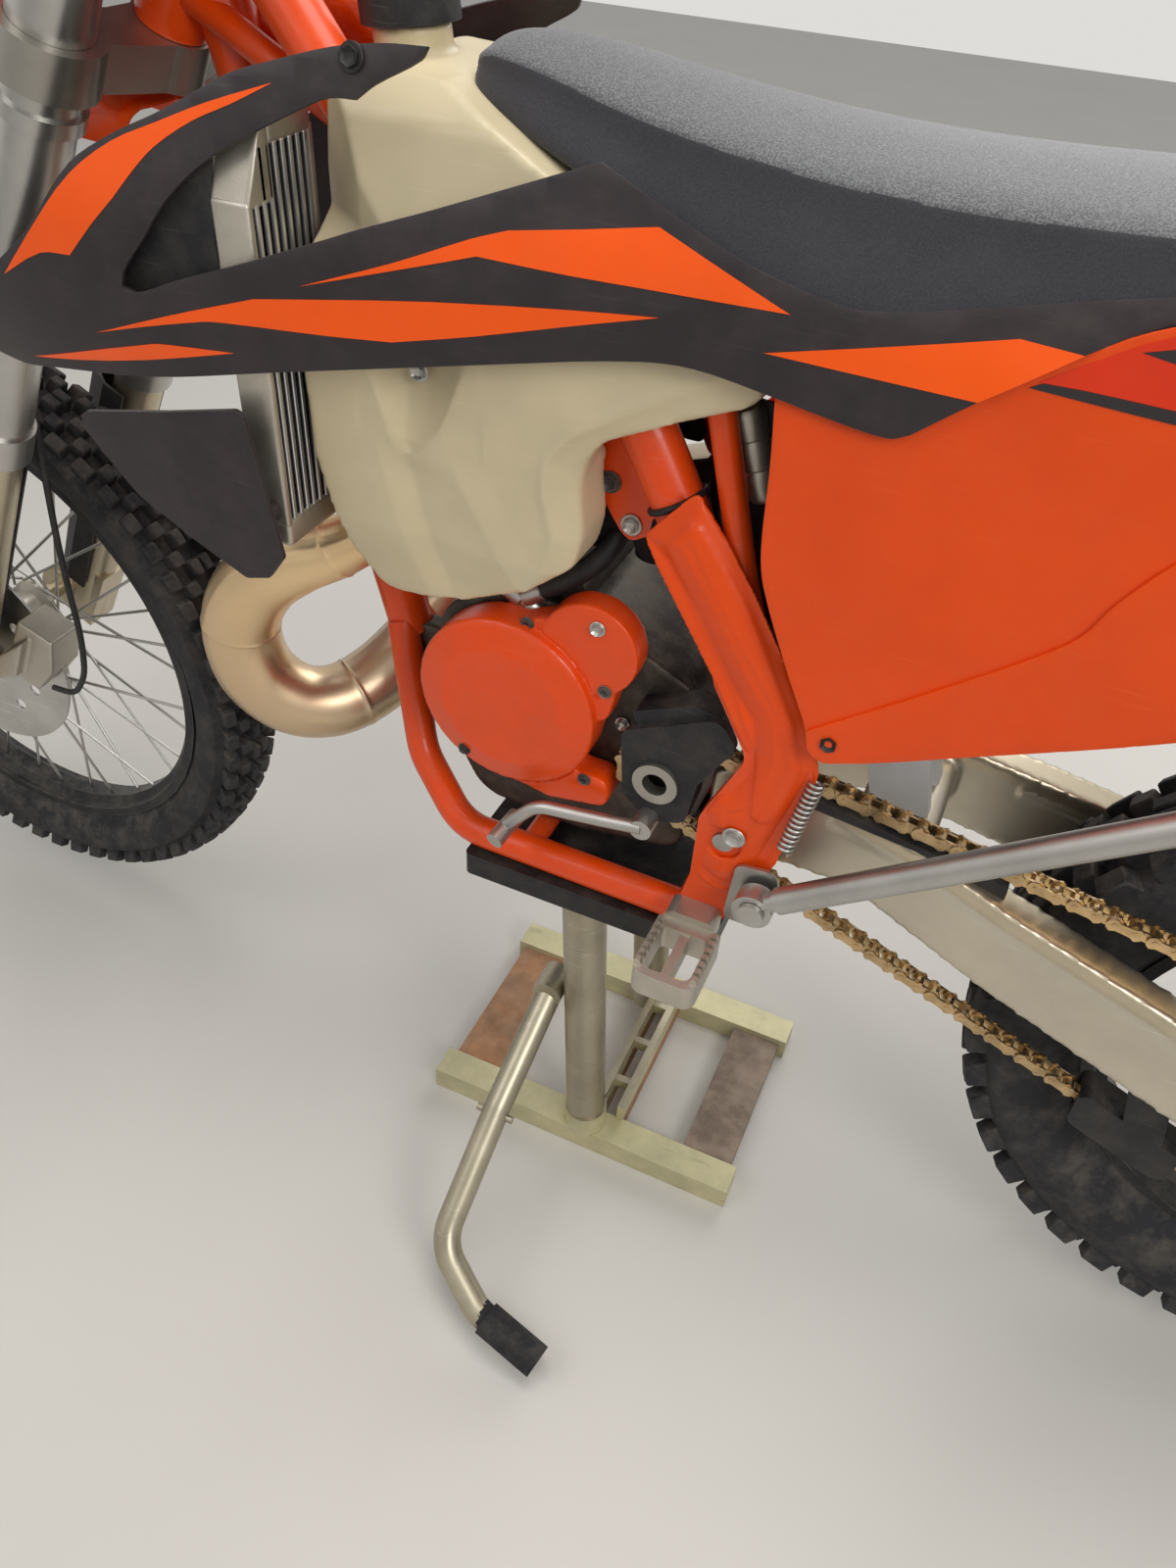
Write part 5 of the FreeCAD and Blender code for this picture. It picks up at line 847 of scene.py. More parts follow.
def ridges(x, z):
    """How far the side steps in (or out, below nought) along the two ridges under the pocket."""
    front, rear = over(RIDGE_FRONT[::-1], z, 4), over(RIDGE_REAR[::-1], z, 4)
    if x < front:
        step = 7.0 * share(x, front - 20, front)
    elif x < rear:
        step = 7.0 - 9.5 * (x - front) / (rear - front)
    else:
        step = -2.5 * (1 - share(x, rear, rear + 30))
    return step * share(-z, -838, -815)


def crease(x, z):
    beyond = beside(REAR_CREASE, x, z)
    if abs(beyond) > 60:
        return 0.0
    return -1.6 * math.exp(-(beyond / 6) ** 2) + (0.3 * min(beyond, 30) if beyond > 0 else 0.0)


def tank_form(x, y, z):
    """The pocket, the ridges and the crease, then a tucked rear and straight shoulders."""
    out = abs(y)
    if 590 < x < 690 and 822 < z < 915 and out > 100:
        out = 116 + 2 * math.exp(-((z - 885) / 18) ** 2) - pocket(x, z)
    if out > 88:
        out -= (ridges(x, z) + crease(x, z)) * share(out, 88, 104)
    shoulder = 68 + 0.76 * min(x - 552, 38) + 0.35 * max(x - 590, 0)
    rise = share(z, 945, 975) if x < 660 else 0.0
    if out > shoulder:
        out = out * (1 - rise) + shoulder * rise
    toward_rear = share(x, 690, 780) if z < 925 else 0.0
    return x - 23 * toward_rear * math.exp(-((z - 848) / 46) ** 2), math.copysign(out, y), z


tank = reshaped(softened(["fuel_tank"], 3.0, 5), tank_form)
done(tank, "fuel_tank_shell", "chassis", "cream_plastic", replaces=["fuel_tank"], smooth=60)

# %% [markdown]
# The covers, cases and calipers are castings too. The ignition cover's face is a flat cone
# round the crank, which the soft net blurs, so its points are set by their distance from
# the crank's axis.

# %% Covers, cases and calipers
CRANK = (700, 612)
CONE_START = 57
COVER_FACE = 105.3
CONE_DROP = 7
COVER_FOOT = 85


def cover_form(x, y, z):
    """The ignition cover's face, a flat cone, and its rim drawn in to meet it."""
    radius = math.hypot(x - CRANK[0], z - CRANK[1])
    if radius < 80 and -y > 99:
        y = CONE_DROP * share(radius, CONE_START, CONE_START + 25) - COVER_FACE
    elif radius < 84 and -y > COVER_FOOT:
        height = COVER_FACE - COVER_FOOT
        y = -COVER_FOOT + (y + COVER_FOOT) * (height - CONE_DROP) / (height - 3)
    return x, y, z


for name, body, slot_name, material, voxel, rounds in [
        ("ignition_cover", "chassis", "orange_plastic", "frame_paint", 2.2, 8),
        ("clutch_cover", "chassis", "cover_black", "cover_black", 2.6, 5),
        ("engine_cases", "chassis", "engine_alloy", "engine_alloy", 2.6, 3),
        ("front_caliper", "steering", "cast_alloy", "cast_alloy", 1.6, 3),
        ("rear_caliper", "chassis", "cast_alloy", "cast_alloy", 1.6, 3)]:
    casting = softened([name], voxel, rounds)
    if name == "ignition_cover":
        ignition = reshaped(casting, cover_form)
    done(casting, name + "_casting", body, slot_name, material, [name], smooth=60)

# %% [markdown]
# The frame guards are moulded covers that wrap the tube, so their section is crowned. The
# softened casting is bent: the nearer a point lies to the guard's outline, seen from the
# side, the further it is drawn in towards the frame.

# %% Frame guards
GUARD = [(814, 809), (834, 796), (860, 760), (899, 700), (914, 682), (920, 653), (915, 626), (905, 607),
         (890, 599), (884, 579), (892, 554), (890, 512), (905, 501), (927, 503), (936, 519), (969, 651),
         (962, 679), (946, 712), (915, 753), (886, 796), (854, 851)]
GUARD_INSIDE = 90


def crowned(x, y, z):
    d = abs(beside(GUARD + GUARD[:1], x, z))
    bend = 7.0 * (1 - min(d / 24, 1.0)) ** 2 - 1.2 * math.exp(-((d - 22) / 3.5) ** 2)
    return x, y - math.copysign(bend, y) if abs(y) > GUARD_INSIDE else y, z


guards = reshaped(softened(["frame_guards"], 2.0, 6), crowned)
done(guards, "frame_guard_covers", "chassis", "orange_plastic", replaces=["frame_guards"],
     smooth=60)

# %% [markdown]
# The seat is a long moulded foam saddle under a taut cover: a pale grained top, a crease
# along each edge, and dark sides that flare out to the panels. It is a closed ring of
# points at each station along the bike, joined into a net. Subdivision then rounds it.
# Cloth simulation suits a loose pad, but this cover is stretched tight over its foam.

# %% Seat


def net(rings, closed=True, capped=True):
    """A surface through rings of points, from one grid whose points are moved."""
    columns = len(rings[0]) + (1 if closed else 0)
    bpy.ops.mesh.primitive_grid_add(x_subdivisions=columns - 1, y_subdivisions=len(rings) - 1, size=1.0)
    piece = bpy.context.object
    if len(piece.data.vertices) != columns * len(rings):
        raise RuntimeError("the grid has another number of points than its rings")
    for k, vertex in enumerate(piece.data.vertices):
        ring = rings[k // columns]
        vertex.co = ring[(k % columns) % len(ring)]
    if capped:
        closed_ends(edited(piece, (bpy.ops.mesh.remove_doubles, {"threshold": 0.00001})))
    return outward(piece)


# x, crown height, half width and height of the crease, half width and height of the foot
SEAT = [(641, 1074, 30, 1070, 36, 1054), (654, 1087, 42, 1080, 50, 1050), (700, 1086, 56, 1077, 68, 1036),
        (760, 1076, 68, 1065, 84, 1018), (830, 1066, 78, 1056, 97, 994), (900, 1060, 84, 1050, 107, 976),
        (980, 1059, 86, 1048, 111, 970), (1080, 1063, 89, 1053, 112, 978), (1180, 1070, 89, 1060, 107, 990),
        (1260, 1077, 86, 1067, 99, 1006), (1320, 1086, 72, 1076, 83, 1036), (1342, 1084, 62, 1076, 68, 1056)]
rings = []
for x, crown, top_half, top, foot_half, foot in SEAT:
    flare = foot_half - top_half
    side = [(0.0, crown), (0.4 * top_half, crown - 1.5), (0.8 * top_half, crown - 5), (top_half, top),
            (top_half + 1.5, top - 5), (top_half + 0.25 * flare, top - 0.35 * (top - foot)),
            (foot_half - 2, foot + 12), (foot_half, foot + 3), (foot_half - 5, foot),
            (foot_half - 12, foot + 8), (0.7 * top_half, crown - 26)]
    ring = side + [(0.0, crown - 24)] + [(-y, z) for y, z in reversed(side[1:])]
    rings.append([place(x, y, z) for y, z in ring])
seat = net(rings)
applied(seat, "SUBSURF", levels=3, render_levels=3)
crowns = [(x, top) for x, _, _, top, _, _ in SEAT]


def seat_face(middle, normal):
    x = (middle.x + X_MID) * 1000
    return 0 if middle.z * 1000 > over(crowns, x, 12) - 3.0 and normal.z > 0 else 1


seat.data.materials.clear()
paint_faces(seat, seat_face, ["seat_top", "seat_side"])
done(seat, "seat_cover", "chassis", "seat_cover", None, ["seat"], smooth=60)

# %% [markdown]
# Off-road tyres are a smooth casing with rubber blocks. The casing's section is drawn once
# and spun about the axle, the way a mould would turn it. Each kind of block is a tapered,
# bevelled cube modelled once and copied round the tread: centre and shoulder blocks share
# a row, and the blocks between them sit half a row on.

# %% Knobbly tyres


def spun(profile, centre, steps=96):
    """Turn a closed section of (radius, y) about an axle that runs across the bike."""
    piece = polygon([(0, y / 1000, r / 1000) for r, y in profile], "NOTHING")
    edited(piece, (bpy.ops.mesh.spin, {"steps": steps, "angle": math.tau, "center": (0, 0, 0),
                                       "axis": (0, 1, 0)}))
    piece.data.transform(Matrix.Translation(centre))
    return outward(piece)


def block(length, width, height, taper=0.84, edge=1.4):
    """A block that stands on its origin and narrows upwards."""
    bpy.ops.mesh.primitive_cube_add(size=1.0)
    piece = bpy.context.object
    for vertex in piece.data.vertices:
        narrow = taper if vertex.co.z > 0 else 1.0
        vertex.co = (vertex.co.x * length * narrow / 1000, vertex.co.y * width * narrow / 1000,
                     (vertex.co.z - 0.5) * height / 1000)
    return applied(piece, "BEVEL", width=edge / 1000, segments=1)


def copies(pattern, matrices):
    """The pattern once at each matrix, joined to one piece."""
    made = [twin(pattern, matrix) for matrix in matrices]
    bpy.data.objects.remove(pattern)
    return joined(made)


KNOB_DEEP = 14.0
# kind, phase, inner and outer edge as shares of the half width, drop of each, part of the pitch
BLOCKS = [("centre", 0.0, 0.02, 0.30, 0.0, 0.6, 0.56), ("shoulder", 0.0, 0.70, 0.99, 5.0, 13.0, 0.66),
          ("between", 0.5, 0.34, 0.66, 1.5, 4.5, 0.5)]
for end, w in WHEELS.items():
    r, half, seat_r, bead = w["tyre_r"], w["half"], w["seat_r"], w["rim_half"] - 3.4
    rise = r - seat_r
    casing_r = r - KNOB_DEEP
    side = [(seat_r + 0.6, bead, 1), (seat_r + 9, bead + 1), (seat_r + 0.3 * rise, 0.85 * half),
            (seat_r + 0.6 * rise, 0.96 * half), (casing_r - 16, 0.88 * half), (casing_r - 5, 0.58 * half)]
    inside = [(r - 24, 0.0), (seat_r + 0.6 * rise, half - 18), (seat_r + 0.6, bead - 8, 1)]
    loop = side + [(casing_r, 0.0)] + [(p[0], -p[1]) + p[2:] for p in reversed(side)]
    loop += [(p[0], -p[1]) + p[2:] for p in reversed(inside)] + inside[1:]
    axle = place(w["x"], 0, w["z"])
    pieces = [spun([(p.x, p.y) for p in flowing(loop, 3)], axle, 120)]
    count = w["knobs"]
    for kind, phase, inner, outer, drop_in, drop_out, part in BLOCKS:
        wide = (outer - inner) * half
        slope = math.atan2(drop_out - drop_in, wide)
        pattern = block(part * math.tau * r / count, wide / math.cos(slope), KNOB_DEEP + 2 + drop_out * 0.4)
        spots = []
        for i in range(count):
            around = Matrix.Rotation(math.tau * (i + phase) / count, 4, "Y")
            for sign in (-1, 1):
                spot = Vector((0, sign * (inner + outer) / 2 * half, r - (drop_in + drop_out) / 2)) / 1000
                spots.append(Matrix.Translation(axle) @ around @ Matrix.Translation(spot)
                             @ Matrix.Rotation(-sign * slope, 4, "X"))
        pieces.append(copies(pattern, spots))
    done(joined(pieces), end + "_tyre_rubber", end + "_wheel_set", "tyre_rubber",
         replaces=[end + "_tyre"])

# %% [markdown]
# A roller chain is two kinds of link that take turns: an outer one of two waisted plates and
# their pins, and an inner one of two plates over rollers. Both are modelled once. The
# chain's line runs straight between its sprockets, over the slider, and round each
# sprocket, and it is measured so that a whole, even number of links fits.

# %% Drive chain
PITCH = 15.875
CHAIN_Y = -77.0
REAR_SPROCKET = (1480.0, 411.0, PITCH / (2 * math.sin(math.pi / 48)))
DRIVE_SPROCKET = (838.0, 577.0, PITCH / (2 * math.sin(math.pi / 13)))
SLIDER = (976.0, 617.0)


def touch(wheel, point, side):
    """The angle at which a line from point touches a wheel, on the given side."""
    x, z, r = wheel
    dx, dz = point[0] - x, point[1] - z
    return math.atan2(dz, dx) + side * math.acos(r / math.hypot(dx, dz))


def on_wheel(wheel, angle):
    return (wheel[0] + wheel[2] * math.cos(angle), wheel[1] + wheel[2] * math.sin(angle))


dx = REAR_SPROCKET[0] - DRIVE_SPROCKET[0]
dz = REAR_SPROCKET[1] - DRIVE_SPROCKET[1]
down = math.atan2(dz, dx) - math.acos((DRIVE_SPROCKET[2] - REAR_SPROCKET[2]) / math.hypot(dx, dz))
rear_top = touch(REAR_SPROCKET, SLIDER, -1)
drive_top = touch(DRIVE_SPROCKET, SLIDER, 1)
line = [on_wheel(DRIVE_SPROCKET, drive_top), SLIDER]
line += [on_wheel(REAR_SPROCKET, rear_top + (down - rear_top) * i / 60) for i in range(61)]
line += [on_wheel(DRIVE_SPROCKET, down - (down + math.tau - drive_top) * i / 40) for i in range(41)]
reach = [0.0]
for a, b in zip(line, line[1:]):
    reach.append(reach[-1] + math.dist(a, b))
links = 2 * round(reach[-1] / PITCH / 2)


def along_chain(s):
    s = s % reach[-1]
    for i in range(len(line) - 1):
        if reach[i + 1] >= s:
            t = (s - reach[i]) / max(reach[i + 1] - reach[i], 1e-6)
            return Vector((line[i][0] + t * (line[i + 1][0] - line[i][0]),
                           line[i][1] + t * (line[i + 1][1] - line[i][1])))
    return Vector(line[-1])


def waisted_plate(y, high, thick=1.9):
    """A link plate in the plane of the chain, from pin to pin."""
    points = []
    for centre, first in ((0.0, 70.0), (PITCH, -110.0)):
        for k in range(7):
            a = math.radians(first + k * 220 / 6)
            x, z = centre + high * math.cos(a), high * math.sin(a)
            waist = 0.68 if abs(x - PITCH / 2) < PITCH / 2 - 2 else 1.0
            points.append((x / 1000, y / 1000, z * waist / 1000))
    return outward(applied(polygon(points), "SOLIDIFY", thickness=thick / 1000, offset=0.0))


def link(plates_at, high, bar_half, bar_r):
    """Two plates, at -y and y, with two pins or rollers across them."""
    plates = [waisted_plate(y, high) for y in (-plates_at, plates_at)]
    bars = [prism(10, bar_r / 1000, 2 * bar_half / 1000, (x / 1000, 0, 0), (math.radians(90), 0, 0))
            for x in (0, PITCH)]
    return joined(plates + bars)


outer_link = link(6.9, 6.7, 8.4, 2.6)
inner_link = link(4.7, 6.9, 3.7, 5.0)
spots = []
for i in range(links):
    pin = along_chain(i * reach[-1] / links)
    following = along_chain((i + 1) * reach[-1] / links)
    heading = math.atan2(following.y - pin.y, following.x - pin.x)
    spots.append(Matrix.Translation(place(pin.x, CHAIN_Y, pin.y)) @ Matrix.Rotation(-heading, 4, "Y"))
chain = joined([copies(outer_link, spots[0::2]), copies(inner_link, spots[1::2])])
done(chain, "chain_links", "chassis", "chain_steel", replaces=["drive_chain"])
print("links", links, "chain", round(reach[-1]), "mm")

# %% [markdown]
# The exhaust is one swollen pipe that leaves the cylinder, loops down in front of the
# frame and runs back to the silencer. Its two stamped halves meet in a raised seam, and a
# weld bead rings it where sections join. The skin is a row of rings along a smooth line
# through listed stations. A swept curve would do, but rings let the seam be raised on
# them and let each point remember how far along the pipe it lies, for the heat tint.

# %% Exhaust
CHAMBER = [
    (612, -4, 752, 21), (597, -5.4, 745.8, 21.5), (578, -22, 733, 22), (552, -44, 714, 24),
    (518, -58, 692, 28), (475, -64, 670, 33), (428, -62, 632, 37), (398, -60, 578, 38),
    (402, -56, 520, 38), (430, -40, 482, 38), (462, -8, 470, 38), (492, 36, 486, 38),
    (528, 86, 532, 38), (576, 130, 594, 38), (640, 160, 650, 36), (720, 172, 696, 34),
    (820, 172, 742, 28), (900, 168, 778, 20), (982, 153, 806, 14), (1060, 152, 826, 14)]
AROUND = 64
SPANS = 8
WELDS = [2.0, 4.0, 7.0, 10.4, 14.0, 16.0]
SEAMS = (math.pi - 0.55, math.tau - 0.55)


def between(rows, s):
    """A row at a fractional place s, on a smooth line through the rows around it."""
    i = min(int(s), len(rows) - 2)
    t = s - i
    p = [Vector(rows[min(max(k, 0), len(rows) - 1)]) for k in (i - 1, i, i + 1, i + 2)]
    return 0.5 * (2 * p[1] + (p[2] - p[0]) * t + (2 * p[0] - 5 * p[1] + 4 * p[2] - p[3]) * t ** 2
                  + (3 * p[1] - p[0] - 3 * p[2] + p[3]) * t ** 3)


stations = [k / SPANS for k in range((len(CHAMBER) - 1) * SPANS + 1)]
for weld in WELDS:
    stations += [weld - 0.06, weld - 0.03, weld, weld + 0.03, weld + 0.06]
stations = sorted(set(round(s, 3) for s in stations if 0 <= s <= len(CHAMBER) - 1))
centres = [between(CHAMBER, s) for s in stations]
loop_middle = Vector((505, -20, 600))
rings = []
for k, row in enumerate(centres):
    spot = Vector(row[:3])
    before, after = centres[max(k - 1, 0)], centres[min(k + 1, len(centres) - 1)]
    way = (Vector(after[:3]) - Vector(before[:3])).normalized()
    out = spot - loop_middle
    out = (out - way * out.dot(way)).normalized()
    across = way.cross(out)
    bead = sum(0.9 * math.exp(-((stations[k] - weld) / 0.035) ** 2) for weld in WELDS)
    ring = []
    for j in range(AROUND):
        a = math.tau * j / AROUND
        seam = 1.6 * max(math.exp(-((a - side) / 0.06) ** 2) for side in SEAMS)
        r = row[3] - 0.9 + seam * 0.9 + bead
        p = spot + (out * math.cos(a) + across * math.sin(a)) * r
        ring.append(place(p.x, p.y, p.z))
    rings.append(ring)
pipe = net(rings)
along = pipe.data.attributes.new("along", "FLOAT", "POINT")
starts = [place(*row[:3]) for row in centres]
for k, vertex in enumerate(pipe.data.vertices):
    near = min(range(len(starts)), key=lambda n: (starts[n] - vertex.co).length_squared)
    along.data[k].value = near / (len(starts) - 1)
done(pipe, "exhaust_skin", "chassis", "exhaust_bronze", replaces=["exhaust_chamber"], smooth=40)

# %% [markdown]
# Small hardware is modelled once and set in place from a table: a flanged bolt is a short
# six-sided prism on a washer, with a socket sunk in its head by an inset.
# Each row gives the middle of the seat, the way the head points, the sizes and the finish.

# %% Bolts


def bolt(width, height, washer=1.35):
    head = prism(6, width / 2000, height / 1000, (0, 0, height / 2000))
    bpy.ops.object.mode_set(mode="EDIT")
    bpy.ops.mesh.select_all(action="DESELECT")
    bpy.ops.object.mode_set(mode="OBJECT")
    for face in head.data.polygons:
        face.select = face.normal.z > 0.9
    bpy.ops.object.mode_set(mode="EDIT")
    bpy.ops.mesh.inset(thickness=width / 5200)
    bpy.ops.transform.translate(value=(0, 0, -height / 1800))
    bpy.ops.object.mode_set(mode="OBJECT")
    applied(head, "BEVEL", width=width / 24000, segments=1)
    flange = prism(20, width * washer / 2000, height / 3000, (0, 0, height / 6000))
    applied(flange, "BEVEL", width=width / 30000, segments=1)
    return joined([head, flange])


LEFT, RIGHT = (0, -1, 0), (0, 1, 0)
# x, y, z, way the head points, width, height and finish
# (a bolt without a y sits on the ignition cover)
BOLTS = [
    (777.7, None, 710.0, LEFT, 10, 5, "zinc_steel"),
    (640.0, None, 672.0, LEFT, 9, 4, "cover_black"),
    (663.0, None, 552.0, LEFT, 9, 4, "cover_black"),
    (776.0, None, 556.0, LEFT, 9, 4, "cover_black"),
    (787.5, None, 652.0, LEFT, 9, 4, "cover_black"),
    (716.0, None, 694.0, LEFT, 9, 4, "cover_black"),
    (768.1, -60.6, 819.3, LEFT, 13, 5, "cover_black"),
    (787.4, -60.6, 789.0, LEFT, 13, 5, "zinc_steel"),
    (796.0, -64.0, 604.0, LEFT, 10, 6, "zinc_steel"),
    (917.2, -110.0, 562.5, LEFT, 15, 5, "zinc_steel"),
    (975.6, -121.9, 694.6, LEFT, 13, 5, "stand_black"),
    (975.6, 121.9, 694.6, RIGHT, 13, 5, "stand_black"),
    (636.8, -106.5, 890.2, LEFT, 11, 5, "zinc_steel"),
    (636.8, 106.5, 890.2, RIGHT, 11, 5, "zinc_steel"),
    (606.0, -117.5, 1079.0, (0, -1, 0.3), 13, 4, "stand_black"),
    (606.0, 117.5, 1079.0, (0, 1, 0.3), 13, 4, "stand_black"),
]
for k, (x, y, z, way, width, height, look) in enumerate(BOLTS):
    if y is None:
        y = ignition.ray_cast(place(x, -200, z), Vector(RIGHT))[1].y * 1000
    turned_to = Vector((0, 0, 1)).rotation_difference(Vector(way)).to_matrix().to_4x4()
    screw = bolt(width, height)
    screw.data.transform(Matrix.Translation(place(x, y, z)) @ turned_to)
    done(screw, "bolt_%02d" % k, "chassis", "zinc_steel", look)

# %% [markdown]
# A radiator is a core of flattened tubes between two smooth alloy tanks. The core is a
# near-black block, which is painted shade: it stands for the shade deep between the tubes.
# The thin bright uprights are the edges of its tubes, seen from behind and from the front,
# so one blade is modelled and copied across both faces.

# %% Radiators


def slab(low, high, edge=1.0, segments=2):
    """A rounded block between two corners, in the bike's millimetres."""
    bpy.ops.mesh.primitive_cube_add(size=1.0)
    piece = bpy.context.object
    a, b = place(*low), place(*high)
    for vertex in piece.data.vertices:
        vertex.co = Vector((a[k] if vertex.co[k] < 0 else b[k] for k in range(3)))
    return applied(piece, "BEVEL", width=edge / 1000, segments=segments)


def cornered(x, y, z):
    """The outer top corner of a radiator leans in under the shroud."""
    lean = max(0.0, z - 988) * 26 / 55
    return x, max(y, -144.5 + lean), z


REAR_FACE = 536.0
core = reshaped(slab((508, -138, 756), (REAR_FACE - 3, -66, 1026), 0.8),
                lambda x, y, z: (x, max(y, -118) if z > 1000 else y, z))
tank_top = reshaped(slab((505.5, -144.3, 986), (REAR_FACE, -112, 1042.5), 4, 4), cornered)
tank_inner = slab((505.5, -114, 1020), (REAR_FACE, -64.5, 1042.5), 4, 4)
tank_low = slab((505.5, -144, 738.5), (REAR_FACE, -64.5, 762), 5, 4)
cheek_out = slab((505.5, -144.3, 756), (REAR_FACE, -137, 992), 3, 3)
cheek_in = slab((505.5, -70, 758), (REAR_FACE, -64.5, 1026), 1.5)
lug = slab((REAR_FACE - 3, -104, 880), (551, -80, 920), 2)
blades = []
for k in range(8):
    top = 990 if k == 0 else 1022
    for x in (505.6, REAR_FACE - 2.4):
        blades.append(slab((x, -135.5 + 8.6 * k, 761), (x + 2.4, -131.5 + 8.6 * k, top), 0.6, 1))
shell = joined([tank_top, tank_inner, tank_low, cheek_out, cheek_in, lug])
# The cores' near-black finish is painted shade for the gaps between the tubes.
done(both_sides(core), "radiator_cores", "chassis", "clamp_alloy", "stand_black", ["radiators"])
done(both_sides(shell), "radiator_tanks", "chassis", "clamp_alloy", "cast_alloy")
done(both_sides(joined(blades)), "radiator_blades", "chassis", "clamp_alloy", "fin_metal")

# %% [markdown]
# The swingarm is a tapered alloy beam with a rounded, polished top edge above a groove.
# It is softened like the castings. Then points just below its upper edge are drawn in for
# the groove, and faces above the groove take the polish that boots and mud give it.

# %% Swingarm
ARM_EDGE = [(880, 588), (925, 604), (1056, 590), (1273, 536), (1430, 462), (1532, 446)]


def below_edge(x, z):
    return over(ARM_EDGE, x, 14) - z


def grooved(x, y, z):
    if x > 985 and abs(y) > 70:
        y -= math.copysign(2.0 * math.exp(-((below_edge(x, z) - 19) / 4.5) ** 2), y)
    return x, y, z


def arm_face(middle, normal):
    x, _, z = at(middle)
    return 1 if below_edge(x, z) < 15 and x > 970 else 0


arm = reshaped(softened(["swingarm"], 3.0, 4), grooved)
arm.data.materials.clear()
paint_faces(arm, arm_face, ["arm_alloy", "leg_alloy"])
done(arm, "swingarm_beam", "chassis", "arm_alloy", None, ["swingarm"], smooth=60)

# %% [markdown]
# Around the engine sit a few parts that only show their outside: the tab that ties the
# engine to the frame, the band that holds the guard, the fuel tap with its fitting and
# hose, the shock's reservoir and the dark inner fender behind it. The hose is a tube that
# is fixed at both ends, so it is a plain piece and no free cord.

# %% Parts around the engine


def smooth_tube(points, radius, sides=16):
    """A round tube along a smooth curve through a few points."""
    data = bpy.data.curves.new("line", "CURVE")
    data.dimensions = "3D"
    data.bevel_depth = radius / 1000
    data.bevel_resolution = sides // 4
    data.use_fill_caps = True
    spline = data.splines.new("NURBS")
    spline.points.add(len(points) - 1)
    for spot, point in zip(spline.points, points):
        spot.co = (*place(*point), 1.0)
    spline.order_u = 3
    spline.use_endpoint_u = True
    spline.resolution_u = 8
    holder = bpy.data.objects.new("line", data)
    bpy.context.scene.collection.objects.link(holder)
    selected(holder)
    bpy.ops.object.convert(target="MESH")
    return outward(bpy.context.object)


def barrel(start, end, rows):
    """A turned part along an axis. Rows give the share of the way and the radius."""
    a, b = place(*start), place(*end)
    way = (b - a).normalized()
    side = way.orthogonal().normalized()
    across = way.cross(side)
    rings = []
    for part, r in rows:
        ring = []
        for k in range(24):
            t = math.tau * k / 24
            ring.append(a + (b - a) * part + (side * math.cos(t) + across * math.sin(t)) * (r / 1000))
        rings.append(ring)
    return net(rings)


TAB = [(780, 893, 1), (758, 850), (756, 828), (760, 812), (772, 790), (786, 776), (800, 782, 1), (806, 800),
       (828, 798, 1), (842, 812, 1), (812, 866, 1)]
tab = panel(TAB, lambda x, z: -60.6, wall=5.0, cell=30, rim=0.8)
done(tab, "engine_tab_plate", "chassis", "frame_paint")
bpy.ops.mesh.primitive_torus_add(major_segments=40, minor_segments=10, major_radius=0.0212,
                                 minor_radius=0.0026)
band = bpy.context.object
tube_way = (place(888, -82, 725) - place(790, -70, 885)).normalized()
band.data.transform(aimed(place(826, -74.4, 826.5), tube_way))
done(band, "guard_band", "chassis", "black_plastic", "stand_black")
tap = barrel((684, -60, 706), (714, -60, 686), [
    (0, 0.01), (0, 9), (0.1, 10.5), (0.45, 10.5), (0.5, 8), (0.6, 8), (0.64, 9.5), (0.96, 9.5), (1, 8.5),
    (1, 0.01)])
nut = barrel((702, -66, 702), (722, -62, 716), [
    (0, 0.01), (0, 8), (0.2, 9), (0.7, 9), (0.75, 7), (1, 7), (1, 0.01)])
done(joined([tap, nut]), "fuel_tap", "chassis", "zinc_steel")
hose = smooth_tube([(716, -62, 711), (726, -63, 718), (740, -64, 729), (756, -62, 743), (768, -54, 758),
                    (772, -44, 768)], 8.5)
done(hose, "fuel_hose", "chassis", "hose_black")
reservoir = barrel((862, -62, 900), (884, -58, 836), [
    (0, 0.01), (0, 11), (0.05, 13), (0.3, 13), (0.33, 11.5), (0.38, 13), (0.62, 13), (0.65, 11.5),
    (0.7, 13), (0.93, 13), (1, 10), (1, 0.01)])
done(reservoir, "shock_reservoir", "chassis", "zinc_steel", "cast_alloy")
INNER = [(868, 905, 1), (866, 860), (872, 800), (896, 738), (930, 686), (975, 668), (1040, 720, 1),
         (1040, 905, 1)]
inner_fender = both_sides(panel(INNER, lambda x, z: -(58 + 0.12 * (x - 866)), wall=2.5, cell=40, rim=0.6))
done(inner_fender, "inner_fender", "chassis", "black_plastic")

# %% [markdown]
# The side stand's return spring is a coil of wire between two hooks. One turn of wire
# could be copied, but the Screw modifier winds a small circle into the whole coil.

# %% Side-stand spring


def coil(start, end, radius, wire, turns):
    bpy.ops.mesh.primitive_circle_add(vertices=8, radius=wire / 1000, rotation=(math.radians(90), 0, 0))
    piece = bpy.context.object
    bpy.ops.object.transform_apply(location=True, rotation=True, scale=True)
    piece.data.transform(Matrix.Translation((radius / 1000, 0, 0)))
    a, b = place(*start), place(*end)
    steps = int(turns * 14)
    applied(piece, "SCREW", axis="Z", angle=math.tau * turns, screw_offset=(b - a).length, iterations=1,
            steps=steps, render_steps=steps, use_merge_vertices=False)
    piece.data.transform(aimed(a, b - a))
    return outward(closed_ends(piece))


spring = coil((972, -104, 640), (960, -116, 572), 6.0, 1.5, 14)
done(spring, "side_stand_spring", "chassis", "zinc_steel", smooth=60)

# %% [markdown]
# The fenders are long moulded blades: flat across the top, rolled down at the sides, and
# arched along their length. Stations along each blade carry a cross-section, a smooth line
# runs through the stations, and Solidify gives the sheet its wall.

# %% Fenders


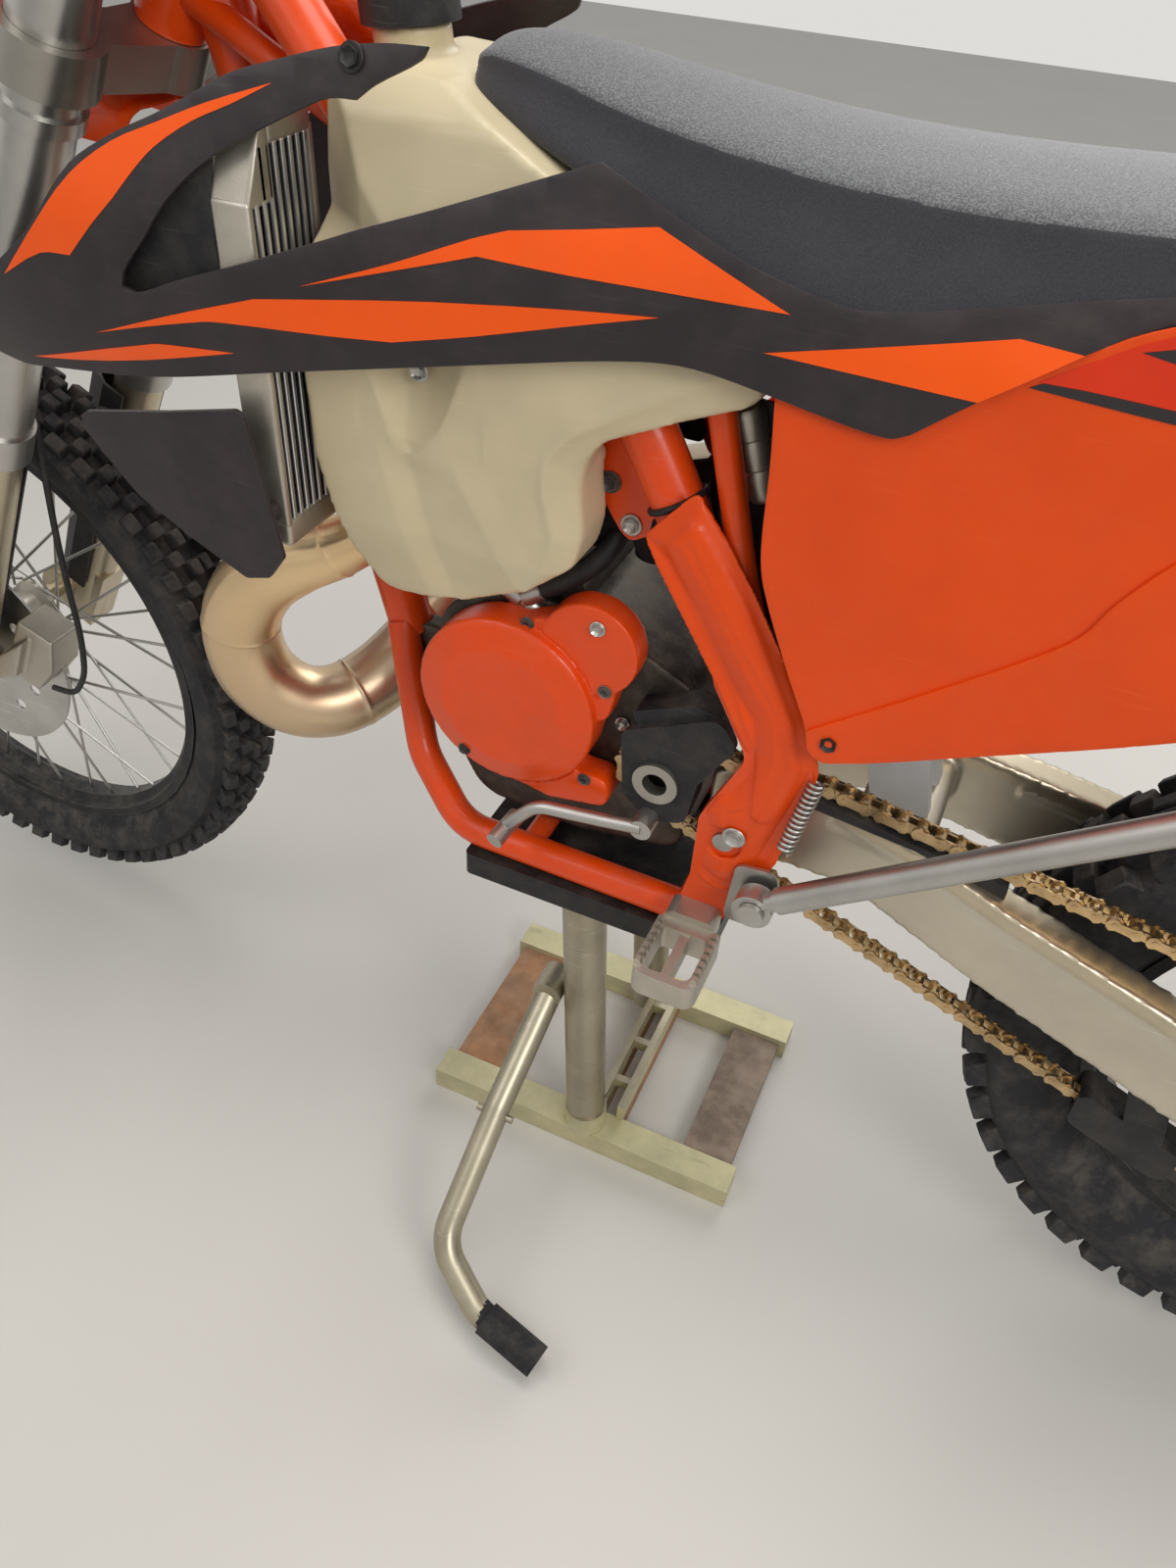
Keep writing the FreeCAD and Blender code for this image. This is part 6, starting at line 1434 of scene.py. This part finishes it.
def blade_sheet(rows, wall, per=6, across=24):
    """A fender from rows of x, crown height, drop of the sides and half width."""
    rings = []
    for k in range((len(rows) - 1) * per + 1):
        x, top, drop, half = between(rows, k / per)
        ring = []
        for j in range(across + 1):
            t = -1 + 2 * j / across
            rib = 1.6 * math.exp(-((abs(t) - 0.42) / 0.06) ** 2)
            ring.append(place(x, t * half, top - 1.7 - drop * abs(t) ** 5.5 + rib))
        rings.append(ring)
    return walled(facing(net(rings, closed=False, capped=False), (0, 0, 1)), wall, 0.8)


FRONT_BLADE = [(-322, 880, 12, 40), (-240, 926, 30, 62), (-120, 976, 44, 72), (20, 1014, 50, 74),
               (150, 1030, 52, 70), (262, 1026, 40, 56), (352, 1004, 24, 48)]
REAR_BLADE = [(1346, 1050, 18, 96), (1480, 1064, 40, 90), (1640, 1082, 40, 82), (1780, 1094, 28, 70),
              (1849, 1096, 12, 50)]
pad = polygon([place(x, 0, z) for x, z in [(331, 1037), (357, 1024), (343, 996), (316, 1008)]])
applied(outward(pad), "SOLIDIFY", thickness=0.072, offset=0.0)
front_blade = joined([blade_sheet(FRONT_BLADE, 3.0), applied(pad, "BEVEL", width=0.003, segments=3)])
done(front_blade, "front_fender_blade", "steering", "orange_plastic", replaces=["front_fender"])
done(blade_sheet(REAR_BLADE, 3.6), "rear_fender_blade", "chassis", "orange_plastic",
     replaces=["rear_fender"])

# %% [markdown]
# The lamp's mask is a shield in front of the fork. It is a net like the fenders, laid out
# along the fork's own two directions. A Boolean cuts the lamp's round opening through it,
# which leaves a cleaner edge than deleting faces would.

# %% Lamp mask
RAKE = math.radians(26.5)
FORK_FOOT = (25.95, 404.06)


def by_fork(along, ahead, y):
    """A point by its distance up the fork, its distance in front of the legs and y."""
    return place(FORK_FOOT[0] + math.sin(RAKE) * along - math.cos(RAKE) * ahead, y,
                 FORK_FOOT[1] + math.cos(RAKE) * along + math.sin(RAKE) * ahead)


# distance up the fork, half width and distance in front of the legs
MASK = [(712, 62, 78), (782, 104, 96), (872, 112, 92), (950, 88, 76), (1000, 50, 58)]
MASK_REAR = 38.5
LAMP_UP = 822
OPENING = 0.0525
rings = []
for k in range((len(MASK) - 1) * 6 + 1):
    along, half, ahead = between(MASK, k / 6)
    side = [(MASK_REAR, half, 1), (ahead - 12, 0.8 * half), (ahead, 0.42 * half)]
    other = [(p[0], -p[1]) + p[2:] for p in reversed(side)]
    rings.append([by_fork(along, p.x, p.y) for p in flowing(side + other, 6, closed=False)])
mask = walled(facing(net(rings, closed=False, capped=False), (-1, 0, 0)), 3.5, 0)
cutter = prism(64, OPENING, 0.2)
forward = (by_fork(0, 1, 0) - by_fork(0, 0, 0)).normalized()
cutter.data.transform(aimed(by_fork(LAMP_UP, 90, 0), forward))
applied(mask, "BOOLEAN", object=cutter, operation="DIFFERENCE")
bpy.data.objects.remove(cutter)
done(mask, "lamp_mask_shield", "steering", "orange_plastic", replaces=["lamp_mask"], smooth=40)
paint_faces(frame["nodes"]["headlamp"], lambda middle, normal: 0 if normal.dot(forward) > 0.7 else 1,
            ["lamp_lens", "cover_black"])
